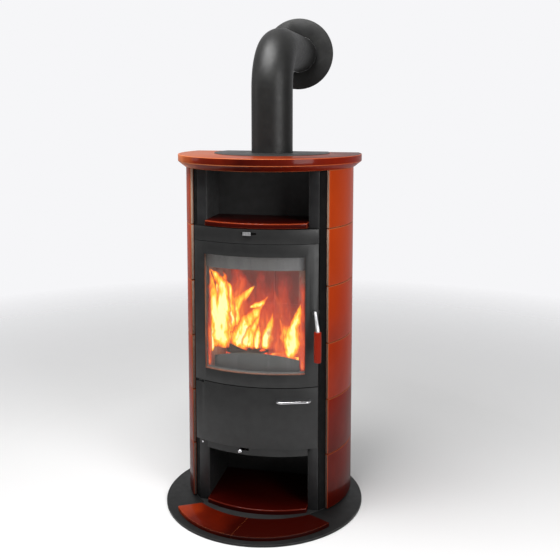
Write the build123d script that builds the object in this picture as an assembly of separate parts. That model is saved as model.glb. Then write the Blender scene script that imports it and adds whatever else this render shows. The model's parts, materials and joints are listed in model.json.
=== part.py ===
"""Tiled wood stove: ceramic side tiles, a curved glazed firebox door, a warming niche and a wood store.

The origin is on the floor, on the upright axis that the side tiles and the top plate curve about.
The front faces -Y and +Z is up. All sizes are in millimetres. Each sub-part is written to parts/.
"""
from build123d import *
import math
import os

# ---------------------------------------------------------------- clearances
FIT = 0.3                 # pieces that lie side by side
SLIDE = 0.5               # pieces that slide past each other
PIN_CLEAR = 0.05          # radial play of a pin or spindle in its bore

# ---------------------------------------------------------------- plan of the body
# side tiles and top plate are concentric about the origin
BODY_R = 300.0            # glazed face of the side tiles
TILE_T = 12.0             # thickness of a side tile
TILE_FRONT_DEG = -35.9    # front edge of the right-hand tiles, measured from +X
TILE_REAR_DEG = 13.0      # rear edge of the right-hand tiles
TILE_ROWS = 6             # side tiles one above the other
TILE_JOINT = 1.5          # open joint between two tiles
TILE_EDGE = 2.0           # broken edges of the glazed tiles
SHEET = 2.0               # casing sheet
CARRIER_R = BODY_R - TILE_T - FIT   # outer face of the sheet behind the tiles
CARRIER_LAP = 20.0        # that sheet beyond the rear edge of the tiles
BACK_Y = 115.0            # outer face of the flat back
BACK_SLOPE = 0.3975       # inward run of the back's bent edges for their rise
VENT = (150.0, 9.0)       # a vent slot in the back
VENT_X = 95.0
VENT_Z = (110.0, 1060.0)  # lowest slot of each group
VENT_ROWS = 4
VENT_PITCH = 24.0

# posts beside the openings: each ends the carrier sheet
POST_IN = 179.0           # half width of the openings
POST_OUT = POST_IN + 33.5
POST_FRONT = -math.sqrt((CARRIER_R - SHEET) ** 2 - (POST_OUT + FIT) ** 2) - 4.37
POST_DEPTH = 36.0

# plan of the front: band, doors, frame and apron share one axis behind the origin
FACE_R = 465.4            # outer face of the band and of both doors
FACE_HALF = POST_OUT + 3  # half width of the band and of both doors
FACE_STAND = 24.8         # edge of that face in front of the posts
FACE_CY = POST_FRONT - FACE_STAND + math.sqrt(FACE_R ** 2 - FACE_HALF ** 2)
FACE_FRONT = FACE_CY - FACE_R
DOOR_SKIN = 4.0           # plate of the firebox door
PANEL_SKIN = 3.0          # plate of the band and of the lower door
RETURN = 12.0             # depth of the doors' folded edges
FRAME_R = FACE_R - 25.4   # outer face of the fixed front frame and of the apron
FRAME_T = 4.0             # plate of the front frame
FRAME_IN_R = FRAME_R - FRAME_T

# ---------------------------------------------------------------- heights, from the floor up
FLOOR_PLATE_T = 8.0
BASE_T = 4.0
FOOT_Z = FLOOR_PLATE_T + BASE_T     # the casing stands here
STORE_TOP = 219.0         # underside of the ash floor, over the wood store
LOW_DOOR_H = 214.0
DOOR_H = 487.0
BAND_H = 48.0
NICHE_H = 193.0
LOW_DOOR_Z = (STORE_TOP + 31, STORE_TOP + 31 + LOW_DOOR_H)
APRON_TOP = LOW_DOOR_Z[0] + 4       # strip under the lower door
DOOR_Z = (LOW_DOOR_Z[1] + 3, LOW_DOOR_Z[1] + 3 + DOOR_H)
BAND_Z = (DOOR_Z[1] + 1.5, DOOR_Z[1] + 1.5 + BAND_H)
TILE_TOP = BAND_Z[1] + NICHE_H      # top of the uppermost side tile
TOP_RIM_Z = (TILE_TOP + 19.5, TILE_TOP + 43.5)

# floor plate and the tiles laid on it
FLOOR_R = BODY_R + 52
FLOOR_CY = -98.0
BASE_R = BODY_R + 6       # curved front of the base plate
BASE_HALF = POST_IN + 13  # half width of that front
HEARTH_T = 13.0
HEARTH_R = BODY_R + 16.5  # outer edge of the hearth tiles
HEARTH_CY = -110.5
HEARTH_HALF = BODY_R - 34   # half width at the outer corners
HEARTH_GAP = 2.5          # gap to the base plate
HEARTH_CUT = (-8.0, -34.0)  # x of the joint at its inner and its outer end

# wood store under the ash floor
STORE_BACK = 33.0         # front face of the store's back
STORE_TILE_R = 380.0
STORE_TILE_FRONT = FACE_FRONT + 10.7
STORE_TILE_T = 16.0

# ---------------------------------------------------------------- top plate, steel insert and flue
TOP_R = BODY_R + 28.7
TOP_BACK = BACK_Y + 5
TOP_FOOT_R = BODY_R + 5
INSERT_R = 210.0
INSERT_T = 5.0
INSERT_LEDGE = 7.0
INSERT_PROUD = 1.5
FLUE_R = 75.0
FLUE_T = 2.5
FLUE_Y = BACK_Y - FLUE_R - 5        # upright leg, close to the back
FLUE_Z = TOP_RIM_Z[1] + 385         # height of the level leg
FLUE_BEND = FLUE_R + 80   # centreline radius of the elbow
BORE_STEPS = 5            # the bore turns the elbow in mitred steps
WALL_Y = 540.0
FLUE_END_R = FLUE_R - 1.5   # drawn-in end that enters the chimney sleeve
FLUE_END_L = 60.0
ROSETTE_R = FLUE_R + 72
ROSETTE_T = 3.0
SPIGOT_L = 60.0

# niche above the band
NICHE_BACK = FLUE_Y - FLUE_R - 14   # front face of the niche's back
SHELF_R = 368.0           # front edge of the shelf tile
SHELF_FRONT = FACE_FRONT + 5        # y of that edge at the middle
SHELF_T = 17.0

# ---------------------------------------------------------------- firebox door
WINDOW_HALF = POST_IN - 5
WINDOW_Z = (DOOR_Z[0] + 45, DOOR_Z[1] - 43)
GLASS_T = 4.0
GLASS_LAP = 9.0           # glass behind the plate, all round
GLASS_BED = 1.5           # gasket between plate and glass
CLAMP_T = 7.4
CLAMP_LAP = (5.0, 6.0)    # clamp frame beyond the glass, sideways and upright
SEAL_W = 8.0
SEAL_GAP = 0.4            # door seal to the front frame
PIN_R = 3.0
HINGE_BLOCK = (15.0, 20.0)  # width and height of a drilled hinge block
HINGE_X = -POST_IN - 13
HINGE_Y = FACE_CY - math.sqrt(FACE_R ** 2 - HINGE_X ** 2) + 9.25
LUG_T = 5.5
LUG_X = (4.9, 9.0)        # lug to the left and to the right of its pin

# handle of the firebox door
BOSS_X = FACE_HALF - 12.5
BOSS_Z = DOOR_Z[0] + 253
BOSS_R = 12.5
BOSS_T = 7.0
SPINDLE_R = 5.0
SPINDLE_IN = DOOR_SKIN + 9.4        # from the door's face to the tongue
LEVER_W = 11.0
LEVER_T = 4.5
GRIP_OFF = 40.0           # grip axis in front of the door face
GRIP_Z = (53.2, 156.0)    # top and bottom of the grip below the spindle
GRIP_R = 12.5
TONGUE = (10.0, 18.0, 5.0)  # width, reach and thickness of the latch tongue

# lower door handle
BAR_X = (FACE_HALF - 133.5, FACE_HALF - 27.5)
BAR_Z = LOW_DOOR_Z[1] - 40
BAR_R = 4.2
BAR_OFF = 28.0
BAR_STEPS = 2             # mitred steps of a bend

# ---------------------------------------------------------------- firebox
SHELL_HALF = POST_IN - 6  # outer half width of the welded shell
SHELL_T = 3.0
SHELL_BACK = BACK_Y - 10  # outer face of the shell's back
SHELL_TOP = BAND_Z[1] - 18.5
FIRE_FLOOR = DOOR_Z[0] + 3          # underside of the firebox floor
FIRE_OPEN_HALF = WINDOW_HALF - 2    # opening of the front frame
FIRE_OPEN_Z = (WINDOW_Z[0] + 1, WINDOW_Z[1] - 49)
BRICK_T = 25.0
BRICK_TOP = FIRE_OPEN_Z[1] + 6
BRICK_JOINT = 0.8
BRICK_EDGE = 2.0
BRICK_SETBACK = 9.0       # lining behind the front frame
GRATE = (210.0, 150.0, 14.0)
GRATE_Y = SHELL_BACK - 160
GRATE_SLOT = 9.0
GRATE_RIM = 9.0
GRATE_BEARING = 12.0      # the firebox floor carries the grate's edge
BAFFLE = (190.0, 18.0)    # depth and thickness
BAFFLE_DEG = 7.0
RETAINER_HALF = FIRE_OPEN_HALF - 22
RETAINER_T = 4.0
RETAINER_R = FRAME_IN_R - 8
RETAINER_Z = (FIRE_FLOOR + 38, FIRE_FLOOR + 78, FIRE_FLOOR + 102)   # foot, top at the ends and at the middle
RETAINER_FOOT = (100.0, 18.0, 26.0)   # place, width and length of its feet

# ---------------------------------------------------------------- air controls and ash pan
SLOT_X = (-38.0, 15.0)    # slot in the band
SLOT_Z = (BAND_Z[0] + 29.5, BAND_Z[0] + 37.5)
TAB_X = (-30.5, -3.0)
TAB_H = 11.0
TAB_PROUD = 6.0
SLIDER_T = 1.5
SLIDER_LAP = (26.0, 18.0)   # slider beyond its tab, to the left and to the right
KNOB_X = -46.0
KNOB_Z = STORE_TOP + 15
KNOB_R = 7.8
KNOB_Y = FACE_FRONT + 8.7
LEVER_ROD_R = 3.0
SHUTTER = (104.0, 30.0, 2.0)
SHUTTER_TRAVEL = 20.0
SHUTTER_SHIFT = 13.0      # its holes beside those of the floor, at rest
SHUTTER_TAB = (16.0, 3.0)   # width and thickness of the upright tab that holds the rod
AIR_HOLES = 4
AIR_HOLE = (12.0, 9.0, 30.0)
AIR_SLOT_H = 9.0          # slot of the rod in the apron
PAN = (240.0, 245.0, 58.0)
PAN_FRONT = POST_FRONT + 1
PAN_WALL = 1.5
PAN_RAIL_X = PAN[0] / 2 - 25
PAN_LIFT = 2.0            # rails above the apron, so the pan passes over it
PAN_LIP = (45.0, 14.0, 2.0)   # half width, reach and thickness
PARTS = {}


# ---------------------------------------------------------------- helpers
def face_y(x, r):
    """y of the front's circle of radius r at this x."""
    return FACE_CY - math.sqrt(r * r - x * x)


def arc_y(x, r, front):
    """y of an arc of radius r that bulges forward to y = front at x = 0."""
    return front + r - math.sqrt(r * r - x * x)


def polar(r, deg):
    return (r * math.cos(math.radians(deg)), r * math.sin(math.radians(deg)))


def box(x0, x1, y0, y1, z0, z1):
    """Block between two corners."""
    size = Box(x1 - x0, y1 - y0, z1 - z0)
    return Pos((x0 + x1) / 2, (y0 + y1) / 2, (z0 + z1) / 2) * size


def upright(r, z0, z1, x=0.0, y=0.0):
    """Upright cylinder."""
    return Pos(x, y, (z0 + z1) / 2) * Cylinder(r, z1 - z0)


def prism(outline, z0, z1):
    """Flat outline at z0 raised to z1."""
    return Pos(0, 0, z0) * extrude(outline, amount=z1 - z0, dir=(0, 0, 1))


def band_outline(outer, inner):
    """Face between two edges that run the same way."""
    ends = [Line(outer @ 1, inner @ 1), Line(inner @ 0, outer @ 0)]
    return make_face([outer, ends[0], inner, ends[1]])


def face_panel(r_out, r_in, x0, x1, z0, z1):
    """Plate curved with the front, between two radii and two x."""
    mid = (x0 + x1) / 2
    outer = ThreePointArc(*[(x, face_y(x, r_out)) for x in (x0, mid, x1)])
    inner = ThreePointArc(*[(x, face_y(x, r_in)) for x in (x0, mid, x1)])
    return prism(band_outline(outer, inner), z0, z1)


def face_ring(r_out, r_in, half, z, open_half, open_z):
    """Curved plate with a rectangular opening."""
    plate = face_panel(r_out, r_in, -half, half, *z)
    return plate - face_panel(r_out + 5, r_in - 5, -open_half, open_half, *open_z)


def ring_sector(r_out, r_in, a0, a1, z0, z1):
    """Plate curved about the origin between two angles."""
    mid = (a0 + a1) / 2
    outer = ThreePointArc(*[polar(r_out, a) for a in (a0, mid, a1)])
    inner = ThreePointArc(*[polar(r_in, a) for a in (a0, mid, a1)])
    return prism(band_outline(outer, inner), z0, z1)


def both(name, right):
    """Write a right-hand piece and its mirror image."""
    PARTS[name + "_right"] = right
    PARTS[name + "_left"] = mirror(right, about=Plane.YZ)


def quarter(centre, start, end, radius, steps):
    """Points of a quarter turn about centre, from the direction start to the direction end."""
    turns = [math.radians(90 * i / steps) for i in range(steps + 1)]
    return [centre + start * (radius * math.cos(t)) + end * (radius * math.sin(t)) for t in turns]


def top_edges(shape, kind=GeomType.CIRCLE):
    """Edges of one kind round the uppermost face."""
    return shape.edges().group_by(Axis.Z)[-1].filter_by(kind)


# ---------------------------------------------------------------- floor and base
def floor_plate():
    disc = upright(FLOOR_R, 0, FLOOR_PLATE_T, y=FLOOR_CY)
    return disc - box(-FLOOR_R, FLOOR_R, BACK_Y, FLOOR_R, -1, FLOOR_PLATE_T + 1)


def base_plate():
    z0, z1 = FLOOR_PLATE_T, FOOT_Z
    body = upright(CARRIER_R, z0, z1)
    front = upright(BASE_R, z0, z1) & box(-BASE_HALF, BASE_HALF, -BASE_R, 0, z0, z1)
    back = box(-CARRIER_R, CARRIER_R, BACK_Y - SHEET - FIT, CARRIER_R, z0 - 1, z1 + 1)
    return body + front - back


def hearth_tiles():
    """Two curved tiles on the floor plate, with an oblique joint."""
    z0, z1 = FLOOR_PLATE_T, FLOOR_PLATE_T + HEARTH_T
    inner_r = BASE_R + HEARTH_GAP
    outer = upright(HEARTH_R, z0, z1, y=HEARTH_CY)
    corner_y = HEARTH_CY - math.sqrt(HEARTH_R ** 2 - HEARTH_HALF ** 2)
    inner_y = -math.sqrt(inner_r ** 2 - BASE_HALF ** 2)
    front, within = HEARTH_CY - HEARTH_R - 10, HEARTH_CY
    tiles = []
    for side in (-1, 1):
        joint = [x + side * TILE_JOINT / 2 for x in HEARTH_CUT]
        edge = Polyline(
            (joint[0], within),
            (joint[0], -inner_r),
            (joint[1], HEARTH_CY - HEARTH_R),
            (joint[1], front),
            (side * HEARTH_R, front),
            (side * HEARTH_HALF, corner_y),
            (side * BASE_HALF, inner_y),
            (side * BASE_HALF, within),
            close=True,
        )
        block = prism(make_face(edge), z0, z1)
        tile = (block & outer) - upright(inner_r, z0 - 1, z1 + 1)
        tiles.append(tile)
    PARTS["hearth_tile_left"], PARTS["hearth_tile_right"] = tiles


# ---------------------------------------------------------------- casing
def posts():
    """Folded channel beside the openings, from the base plate to the top plate."""
    z0, z1 = FOOT_Z, TILE_TOP
    outer = box(POST_IN, POST_OUT, POST_FRONT, POST_FRONT + POST_DEPTH, z0, z1)
    rear = POST_FRONT + POST_DEPTH + 1
    hollow = box(POST_IN + SHEET, POST_OUT - SHEET, POST_FRONT + SHEET, rear, z0 - 1, z1 + 1)
    both("front_post", outer - hollow)


def tile_carriers():
    """Curved side sheets behind the tiles, from the posts round to the back."""
    z0, z1 = FOOT_Z, TILE_TOP
    inner = CARRIER_R - SHEET
    meet = math.degrees(math.acos((POST_OUT + FIT) / inner))
    rear = TILE_REAR_DEG + math.degrees(CARRIER_LAP / CARRIER_R)
    both("tile_carrier", ring_sector(CARRIER_R, inner, -meet, rear, z0, z1))


def side_tiles():
    z0 = FOOT_Z
    pitch = (TILE_TOP - z0 + TILE_JOINT) / TILE_ROWS
    for row in range(TILE_ROWS):
        low = z0 + row * pitch
        high = low + pitch - TILE_JOINT
        tile = ring_sector(BODY_R, BODY_R - TILE_T, TILE_FRONT_DEG, TILE_REAR_DEG, low, high)
        both("side_tile_%d" % (row + 1), tile)


def back_panel():
    """Bent sheet that closes the back between the two columns of tiles, with vent slots."""
    z0, z1 = FOOT_Z, TILE_TOP
    rear = polar(BODY_R - TILE_T + 4, TILE_REAR_DEG + 0.8)
    corner = (rear[0] - BACK_SLOPE * (BACK_Y - rear[1]), BACK_Y)
    path = Polyline((-rear[0], rear[1]), (-corner[0], corner[1]), corner, rear)
    inner = [(-rear[0] + SHEET, rear[1]), (-corner[0] + SHEET, corner[1] - SHEET)]
    inner += [(corner[0] - SHEET, corner[1] - SHEET), (rear[0] - SHEET, rear[1])]
    panel = prism(band_outline(path, Polyline(*inner)), z0, z1)
    vents = []
    for low in VENT_Z:
        for row in range(VENT_ROWS):
            z = low + row * VENT_PITCH
            for x in (-VENT_X, VENT_X):
                vents.append(Pos(x, BACK_Y, z) * Box(VENT[0], 4 * SHEET, VENT[1]))
    return panel - vents


# ---------------------------------------------------------------- wood store and ash compartment
def store_liner():
    """Sides and back of the wood store, folded from one sheet."""
    z0, z1 = FOOT_Z, STORE_TOP - FIT
    front = POST_FRONT + SHEET
    outer = box(-POST_IN, POST_IN, front, STORE_BACK + SHEET, z0, z1)
    return outer - box(-POST_IN + SHEET, POST_IN - SHEET, front - 1, STORE_BACK, z0 - 1, z1 + 1)


def store_tile():
    """Ceramic floor of the wood store with a curved front."""
    half = POST_IN - SHEET - FIT
    z0 = FOOT_Z
    front = ThreePointArc(*[(x, arc_y(x, STORE_TILE_R, STORE_TILE_FRONT)) for x in (-half, 0, half)])
    back = Line((-half, STORE_BACK - FIT), (half, STORE_BACK - FIT))
    tile = prism(band_outline(front, back), z0, z0 + STORE_TILE_T)
    return chamfer(top_edges(tile), TILE_EDGE)


def ash_floor():
    """Plate over the wood store, with the primary air holes near its front and two rails for the pan."""
    half = SHELL_HALF - SHELL_T - FIT
    rear = SHELL_BACK - SHELL_T - FIT
    front = ThreePointArc(*[(x, face_y(x, FRAME_IN_R - FIT)) for x in (-half, 0, half)])
    plate = prism(band_outline(front, Line((-half, rear), (half, rear))), STORE_TOP, STORE_TOP + SHELL_T)
    start = shutter_y() + SHUTTER[1] / 2 + 4
    for x in (-PAN_RAIL_X, PAN_RAIL_X):
        plate = plate + box(x - SHELL_T, x + SHELL_T, start, rear, STORE_TOP + 1, APRON_TOP + PAN_LIFT)
    return plate - [Pos(*place) * Box(*AIR_HOLE) for place in air_holes(0)]


def shutter_y():
    """Middle of the primary air shutter, behind the apron."""
    return face_y(KNOB_X - SHUTTER[0] / 2, FRAME_IN_R) + SHUTTER[1] / 2 + 4


def air_holes(shift):
    """Middles of the air holes, in the floor or shifted in the shutter."""
    pitch = SHUTTER[0] / AIR_HOLES
    first = KNOB_X - pitch * (AIR_HOLES - 1) / 2
    return [(first + pitch * i + shift, shutter_y(), STORE_TOP) for i in range(AIR_HOLES)]


def apron():
    """Curved strip under the lower door, with the slot of the air lever."""
    half = POST_IN - FIT
    strip = face_panel(FRAME_R, FRAME_IN_R, -half, half, STORE_TOP - 5, APRON_TOP)
    middle = KNOB_X + SHUTTER_TRAVEL / 2
    length = SHUTTER_TRAVEL + 2 * LEVER_ROD_R + 6
    return strip - Pos(middle, face_y(middle, FRAME_R), KNOB_Z) * Box(length, 6 * FRAME_T, AIR_SLOT_H)


def primary_air():
    """Sliding shutter in front of the ash pan, and the rod with the knob that moves it."""
    width, depth, thick = SHUTTER
    z0 = STORE_TOP + SHELL_T + FIT
    plate = Pos(KNOB_X, shutter_y(), z0 + thick / 2) * Box(width, depth, thick)
    plate = plate - [Pos(*place) * Box(*AIR_HOLE) for place in air_holes(SHUTTER_SHIFT)]
    rear = shutter_y() + depth / 2
    end = rear - SHUTTER_TAB[1]
    half = SHUTTER_TAB[0] / 2
    tab = box(KNOB_X - half, KNOB_X + half, end, rear, z0, KNOB_Z + LEVER_ROD_R + 4)
    rod = Pos(KNOB_X, (end + KNOB_Y) / 2, KNOB_Z) * Rot(90, 0, 0) * Cylinder(LEVER_ROD_R, end - KNOB_Y)
    knob = Cylinder(KNOB_R, 2 * KNOB_R)
    knob = chamfer(knob.edges().filter_by(GeomType.CIRCLE), KNOB_R / 2)
    return plate + tab + rod + Pos(KNOB_X, KNOB_Y, KNOB_Z) * Rot(90, 0, 0) * knob


def ash_pan():
    """Folded pan with a lip to pull it by."""
    z0 = APRON_TOP + PAN_LIFT + FIT
    z1 = z0 + PAN[2]
    half = PAN[0] / 2
    outer = box(-half, half, PAN_FRONT, PAN_FRONT + PAN[1], z0, z1)
    inner = box(-half + PAN_WALL, half - PAN_WALL, PAN_FRONT + PAN_WALL, PAN_FRONT + PAN[1] - PAN_WALL,
                z0 + PAN_WALL, z1 + 1)
    reach, thick = PAN_LIP[1], PAN_LIP[2]
    lip = box(-PAN_LIP[0], PAN_LIP[0], PAN_FRONT - reach, PAN_FRONT, z1 - thick, z1)
    down = box(-PAN_LIP[0], PAN_LIP[0], PAN_FRONT - reach, PAN_FRONT - reach + thick, z1 - reach, z1)
    return outer - inner + lip + down


# ---------------------------------------------------------------- firebox
def firebox_shell():
    """Sides and back of the welded shell, round the ash compartment and the firebox."""
    y0 = face_y(SHELL_HALF, FRAME_IN_R) + FIT
    outer = box(-SHELL_HALF, SHELL_HALF, y0, SHELL_BACK, STORE_TOP, SHELL_TOP)
    inner_half = SHELL_HALF - SHELL_T
    return outer - box(-inner_half, inner_half, y0 - 1, SHELL_BACK - SHELL_T, STORE_TOP - 1, SHELL_TOP + 1)


def firebox_floor():
    half = SHELL_HALF - SHELL_T - FIT
    y0 = face_y(half, FRAME_IN_R) + FIT
    plate = box(-half, half, y0, SHELL_BACK - SHELL_T - FIT, FIRE_FLOOR, FIRE_FLOOR + SHELL_T)
    hole = Box(GRATE[0] - 2 * GRATE_BEARING, GRATE[1] - 2 * GRATE_BEARING, 4 * SHELL_T)
    return plate - Pos(0, GRATE_Y, FIRE_FLOOR) * hole


def firebox_top():
    """Plate over the firebox with the spigot that the flue pipe slips over."""
    half = SHELL_HALF
    front = ThreePointArc(*[(x, face_y(x, FRAME_IN_R - FIT)) for x in (-half, 0, half)])
    z1 = SHELL_TOP + SHELL_T
    plate = prism(band_outline(front, Line((-half, SHELL_BACK), (half, SHELL_BACK))), SHELL_TOP, z1)
    spigot_r = FLUE_R - FLUE_T - FIT
    spigot = upright(spigot_r, z1 - 1, z1 + SPIGOT_L, y=FLUE_Y)
    return plate + spigot - upright(spigot_r - SHEET, SHELL_TOP - 1, z1 + SPIGOT_L + 1, y=FLUE_Y)


def firebox_front():
    """Curved front frame that the door seals against."""
    z = (DOOR_Z[0] - 8, SHELL_TOP + SHELL_T)
    return face_ring(FRAME_R, FRAME_IN_R, POST_IN - FIT, z, FIRE_OPEN_HALF, FIRE_OPEN_Z)


def bricks():
    """Firebrick lining: floor, two sides and back."""
    inner = SHELL_HALF - SHELL_T - FIT
    back = SHELL_BACK - SHELL_T - FIT
    front = face_y(inner, FRAME_IN_R) + BRICK_SETBACK
    z0 = FIRE_FLOOR + SHELL_T
    z1 = z0 + BRICK_T
    gx, gy = GRATE[0] / 2 + FIT, GRATE[1] / 2 + FIT
    field = inner - BRICK_T - FIT
    floor = [
        box(-field, field, front, GRATE_Y - gy, z0, z1),
        box(-field, field, GRATE_Y + gy, back - BRICK_T - FIT, z0, z1),
        box(-field, -gx, GRATE_Y - gy + BRICK_JOINT, GRATE_Y + gy - BRICK_JOINT, z0, z1),
        box(gx, field, GRATE_Y - gy + BRICK_JOINT, GRATE_Y + gy - BRICK_JOINT, z0, z1),
    ]
    PARTS["brick_floor"] = Compound(children=floor)
    depth = (back - BRICK_T - FIT - front) / 2
    half_height = (BRICK_TOP - z0) / 2
    side = []
    rear = []
    for row in range(2):
        low = z0 + row * half_height
        high = low + half_height - BRICK_JOINT
        for column in range(2):
            y = front + column * depth
            brick = box(field + FIT, inner, y, y + depth - BRICK_JOINT, low, high)
            side.append(chamfer(brick.edges().filter_by(Axis.Z).sort_by(Axis.X)[:2], BRICK_EDGE))
            x = -inner + column * inner
            brick = box(x, x + inner - BRICK_JOINT, back - BRICK_T, back, low, high)
            rear.append(chamfer(brick.edges().filter_by(Axis.Z).sort_by(Axis.Y)[:2], BRICK_EDGE))
    PARTS["brick_side_right"] = Compound(children=side)
    PARTS["brick_side_left"] = Compound(children=[mirror(brick, about=Plane.YZ) for brick in side])
    PARTS["brick_back"] = Compound(children=rear)


def grate():
    """Cast grate with slots in a frame, level with the floor bricks."""
    wide, deep, thick = GRATE
    z0 = FIRE_FLOOR + SHELL_T
    z1 = z0 + BRICK_T
    body = box(-wide / 2, wide / 2, GRATE_Y - deep / 2, GRATE_Y + deep / 2, z0, z1)
    well = Box(wide - 2 * GRATE_RIM, deep - 2 * GRATE_RIM, 2 * (BRICK_T - thick))
    count = int((wide - 4 * GRATE_RIM) / (2 * GRATE_SLOT))
    first = -(count - 1) * GRATE_SLOT
    slot = Box(GRATE_SLOT, deep - 4 * GRATE_RIM, 4 * BRICK_T)
    slots = [Pos(first + 2 * GRATE_SLOT * i, GRATE_Y, z1) * slot for i in range(count)]
    return body - Pos(0, GRATE_Y, z0) * well - slots


def baffle():
    """Sloping baffle on the side bricks, which turns the smoke towards the front."""
    half = SHELL_HALF - SHELL_T - 2 * FIT
    depth, thick = BAFFLE
    back = SHELL_BACK - SHELL_T - 3
    rise = depth / 2 * math.sin(math.radians(BAFFLE_DEG)) + thick / 2
    plate = Rot(-BAFFLE_DEG, 0, 0) * Box(2 * half, depth, thick)
    return Pos(0, back - depth / 2, BRICK_TOP + rise + FIT) * plate


def log_retainer():
    """Curved plate in front of the fire, higher in the middle, on two feet."""
    r = RETAINER_R
    half = RETAINER_HALF
    foot, end, crown = RETAINER_Z
    plate = face_panel(r, r - RETAINER_T, -half, half, foot, crown)
    arch = ThreePointArc((-half, end), (0, crown), (half, end))
    sides = Polyline((half, end), (half, foot), (-half, foot), (-half, end))
    keep = extrude(Plane.XZ * make_face([arch, sides]), amount=FACE_R)
    place, width, length = RETAINER_FOOT
    feet = []
    for x in (-place, place):
        front = face_y(x, r - RETAINER_T + 1)
        low = FIRE_FLOOR + SHELL_T + BRICK_T
        feet.append(box(x - width / 2, x + width / 2, front, front + length, low, foot + 3))
    return (plate & keep) + feet


# ---------------------------------------------------------------- niche and band
def niche_liner():
    """Box of the niche: floor, sides, back and roof, open to the front."""
    z0, z1 = BAND_Z[1], TILE_TOP - FIT
    front = POST_FRONT + SHEET
    outer = box(-POST_IN, POST_IN, front, NICHE_BACK + SHEET, z0, z1)
    return outer - box(-POST_IN + SHEET, POST_IN - SHEET, front - 1, NICHE_BACK, z0 + SHEET, z1 - SHEET)


def shelf_tile():
    half = POST_IN - SHEET - FIT
    z0 = BAND_Z[1] + SHEET
    front = ThreePointArc(*[(x, arc_y(x, SHELF_R, SHELF_FRONT)) for x in (-half, 0, half)])
    back = Line((-half, NICHE_BACK - FIT), (half, NICHE_BACK - FIT))
    tile = prism(band_outline(front, back), z0, z0 + SHELF_T)
    return chamfer(top_edges(tile), TILE_EDGE)


def air_band():
    """Curved band over the door with the slot of the air slider and a shelf behind it."""
    half = FACE_HALF
    skin = face_panel(FACE_R, FACE_R - PANEL_SKIN, -half, half, *BAND_Z)
    front = ThreePointArc(*[(x, face_y(x, FACE_R - 1)) for x in (-half, 0, half)])
    back = Line((-half, POST_FRONT - FIT), (half, POST_FRONT - FIT))
    shelf = prism(band_outline(front, back), BAND_Z[1] - SHEET, BAND_Z[1])
    return skin + shelf - face_panel(FACE_R + 1, FACE_R - 2 * PANEL_SKIN, *SLOT_X, *SLOT_Z)


def air_slider():
    """Curved strip behind the band's slot, and the bright tab that stands out of it."""
    r = FACE_R - PANEL_SKIN - FIT
    z_mid = (SLOT_Z[0] + SLOT_Z[1]) / 2
    x0, x1 = TAB_X[0] - SLIDER_LAP[0], TAB_X[1] + SLIDER_LAP[1]
    strip = face_panel(r, r - SLIDER_T, x0, x1, z_mid - 9, z_mid + 9)
    neck = face_panel(FACE_R + 2, r - 0.5, TAB_X[0] + 4, TAB_X[1] - 4, z_mid - 3, z_mid + 3)
    tab = face_panel(FACE_R + TAB_PROUD, FACE_R + SLIDE, *TAB_X, z_mid - TAB_H / 2, z_mid + TAB_H / 2)
    return strip + neck + tab


# ---------------------------------------------------------------- hinges
def hinge_hardware():
    """Three lugs on the left post and the pins that both doors turn on."""
    low = LOW_DOOR_Z[0] - 3 - LUG_T
    mid = LOW_DOOR_Z[1] - LUG_T
    top = BAND_Z[0] + SLIDE
    deep = HINGE_BLOCK[1] - 2
    lugs = []
    pins = []
    reach = (low - 6, LOW_DOOR_Z[0] + deep), (mid - deep, DOOR_Z[0] + deep), (top - deep, top + LUG_T)
    for base, (z0, z1) in zip((low, mid, top), reach):
        lug = box(HINGE_X - LUG_X[0], HINGE_X + LUG_X[1], HINGE_Y - LUG_X[0], POST_FRONT, base, base + LUG_T)
        behind = face_panel(FACE_R, FACE_R - DOOR_SKIN - FIT, -FACE_HALF, 0, base - 1, base + LUG_T + 1)
        lugs.append(lug - behind - upright(PIN_R, base - 1, base + LUG_T + 1, HINGE_X, HINGE_Y))
        pins.append(upright(PIN_R, z0, z1, HINGE_X, HINGE_Y))
    PARTS["hinge_lugs"] = Compound(children=lugs)
    PARTS["hinge_pins"] = Compound(children=pins)


def hinge_blocks(z_low, z_high):
    """Two drilled blocks on the back of a door's plate, between the given heights."""
    half, high = HINGE_BLOCK[0] / 2, HINGE_BLOCK[1]
    front = face_y(HINGE_X + half, FACE_R - 1)
    blocks = []
    for z0, z1 in ((z_low, z_low + high), (z_high - high, z_high)):
        outside = face_panel(FACE_R + half, FACE_R - 1, HINGE_X - high, HINGE_X + high, z0 - 1, z1 + 1)
        blocks.append(box(HINGE_X - half, HINGE_X + half, front, HINGE_Y + half, z0, z1) - outside)
    return blocks


def hinge_bores(z_low, z_high):
    """Blind bores for the pins, from the lower and the upper end of a door."""
    deep = HINGE_BLOCK[1] - 1.5
    r = PIN_R + PIN_CLEAR
    low = upright(r, z_low - 1, z_low + deep, HINGE_X, HINGE_Y)
    return [low, upright(r, z_high - deep, z_high + 1, HINGE_X, HINGE_Y)]


# ---------------------------------------------------------------- firebox door
def latch_frame():
    """Frame of the handle: origin on the door's face at the spindle, Z outward, X along the face."""
    tilt = math.asin(BOSS_X / FACE_R)
    normal = (math.sin(tilt), -math.cos(tilt), 0)
    along = (math.cos(tilt), math.sin(tilt), 0)
    return Plane(origin=(BOSS_X, face_y(BOSS_X, FACE_R), BOSS_Z), x_dir=along, z_dir=normal)


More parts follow.
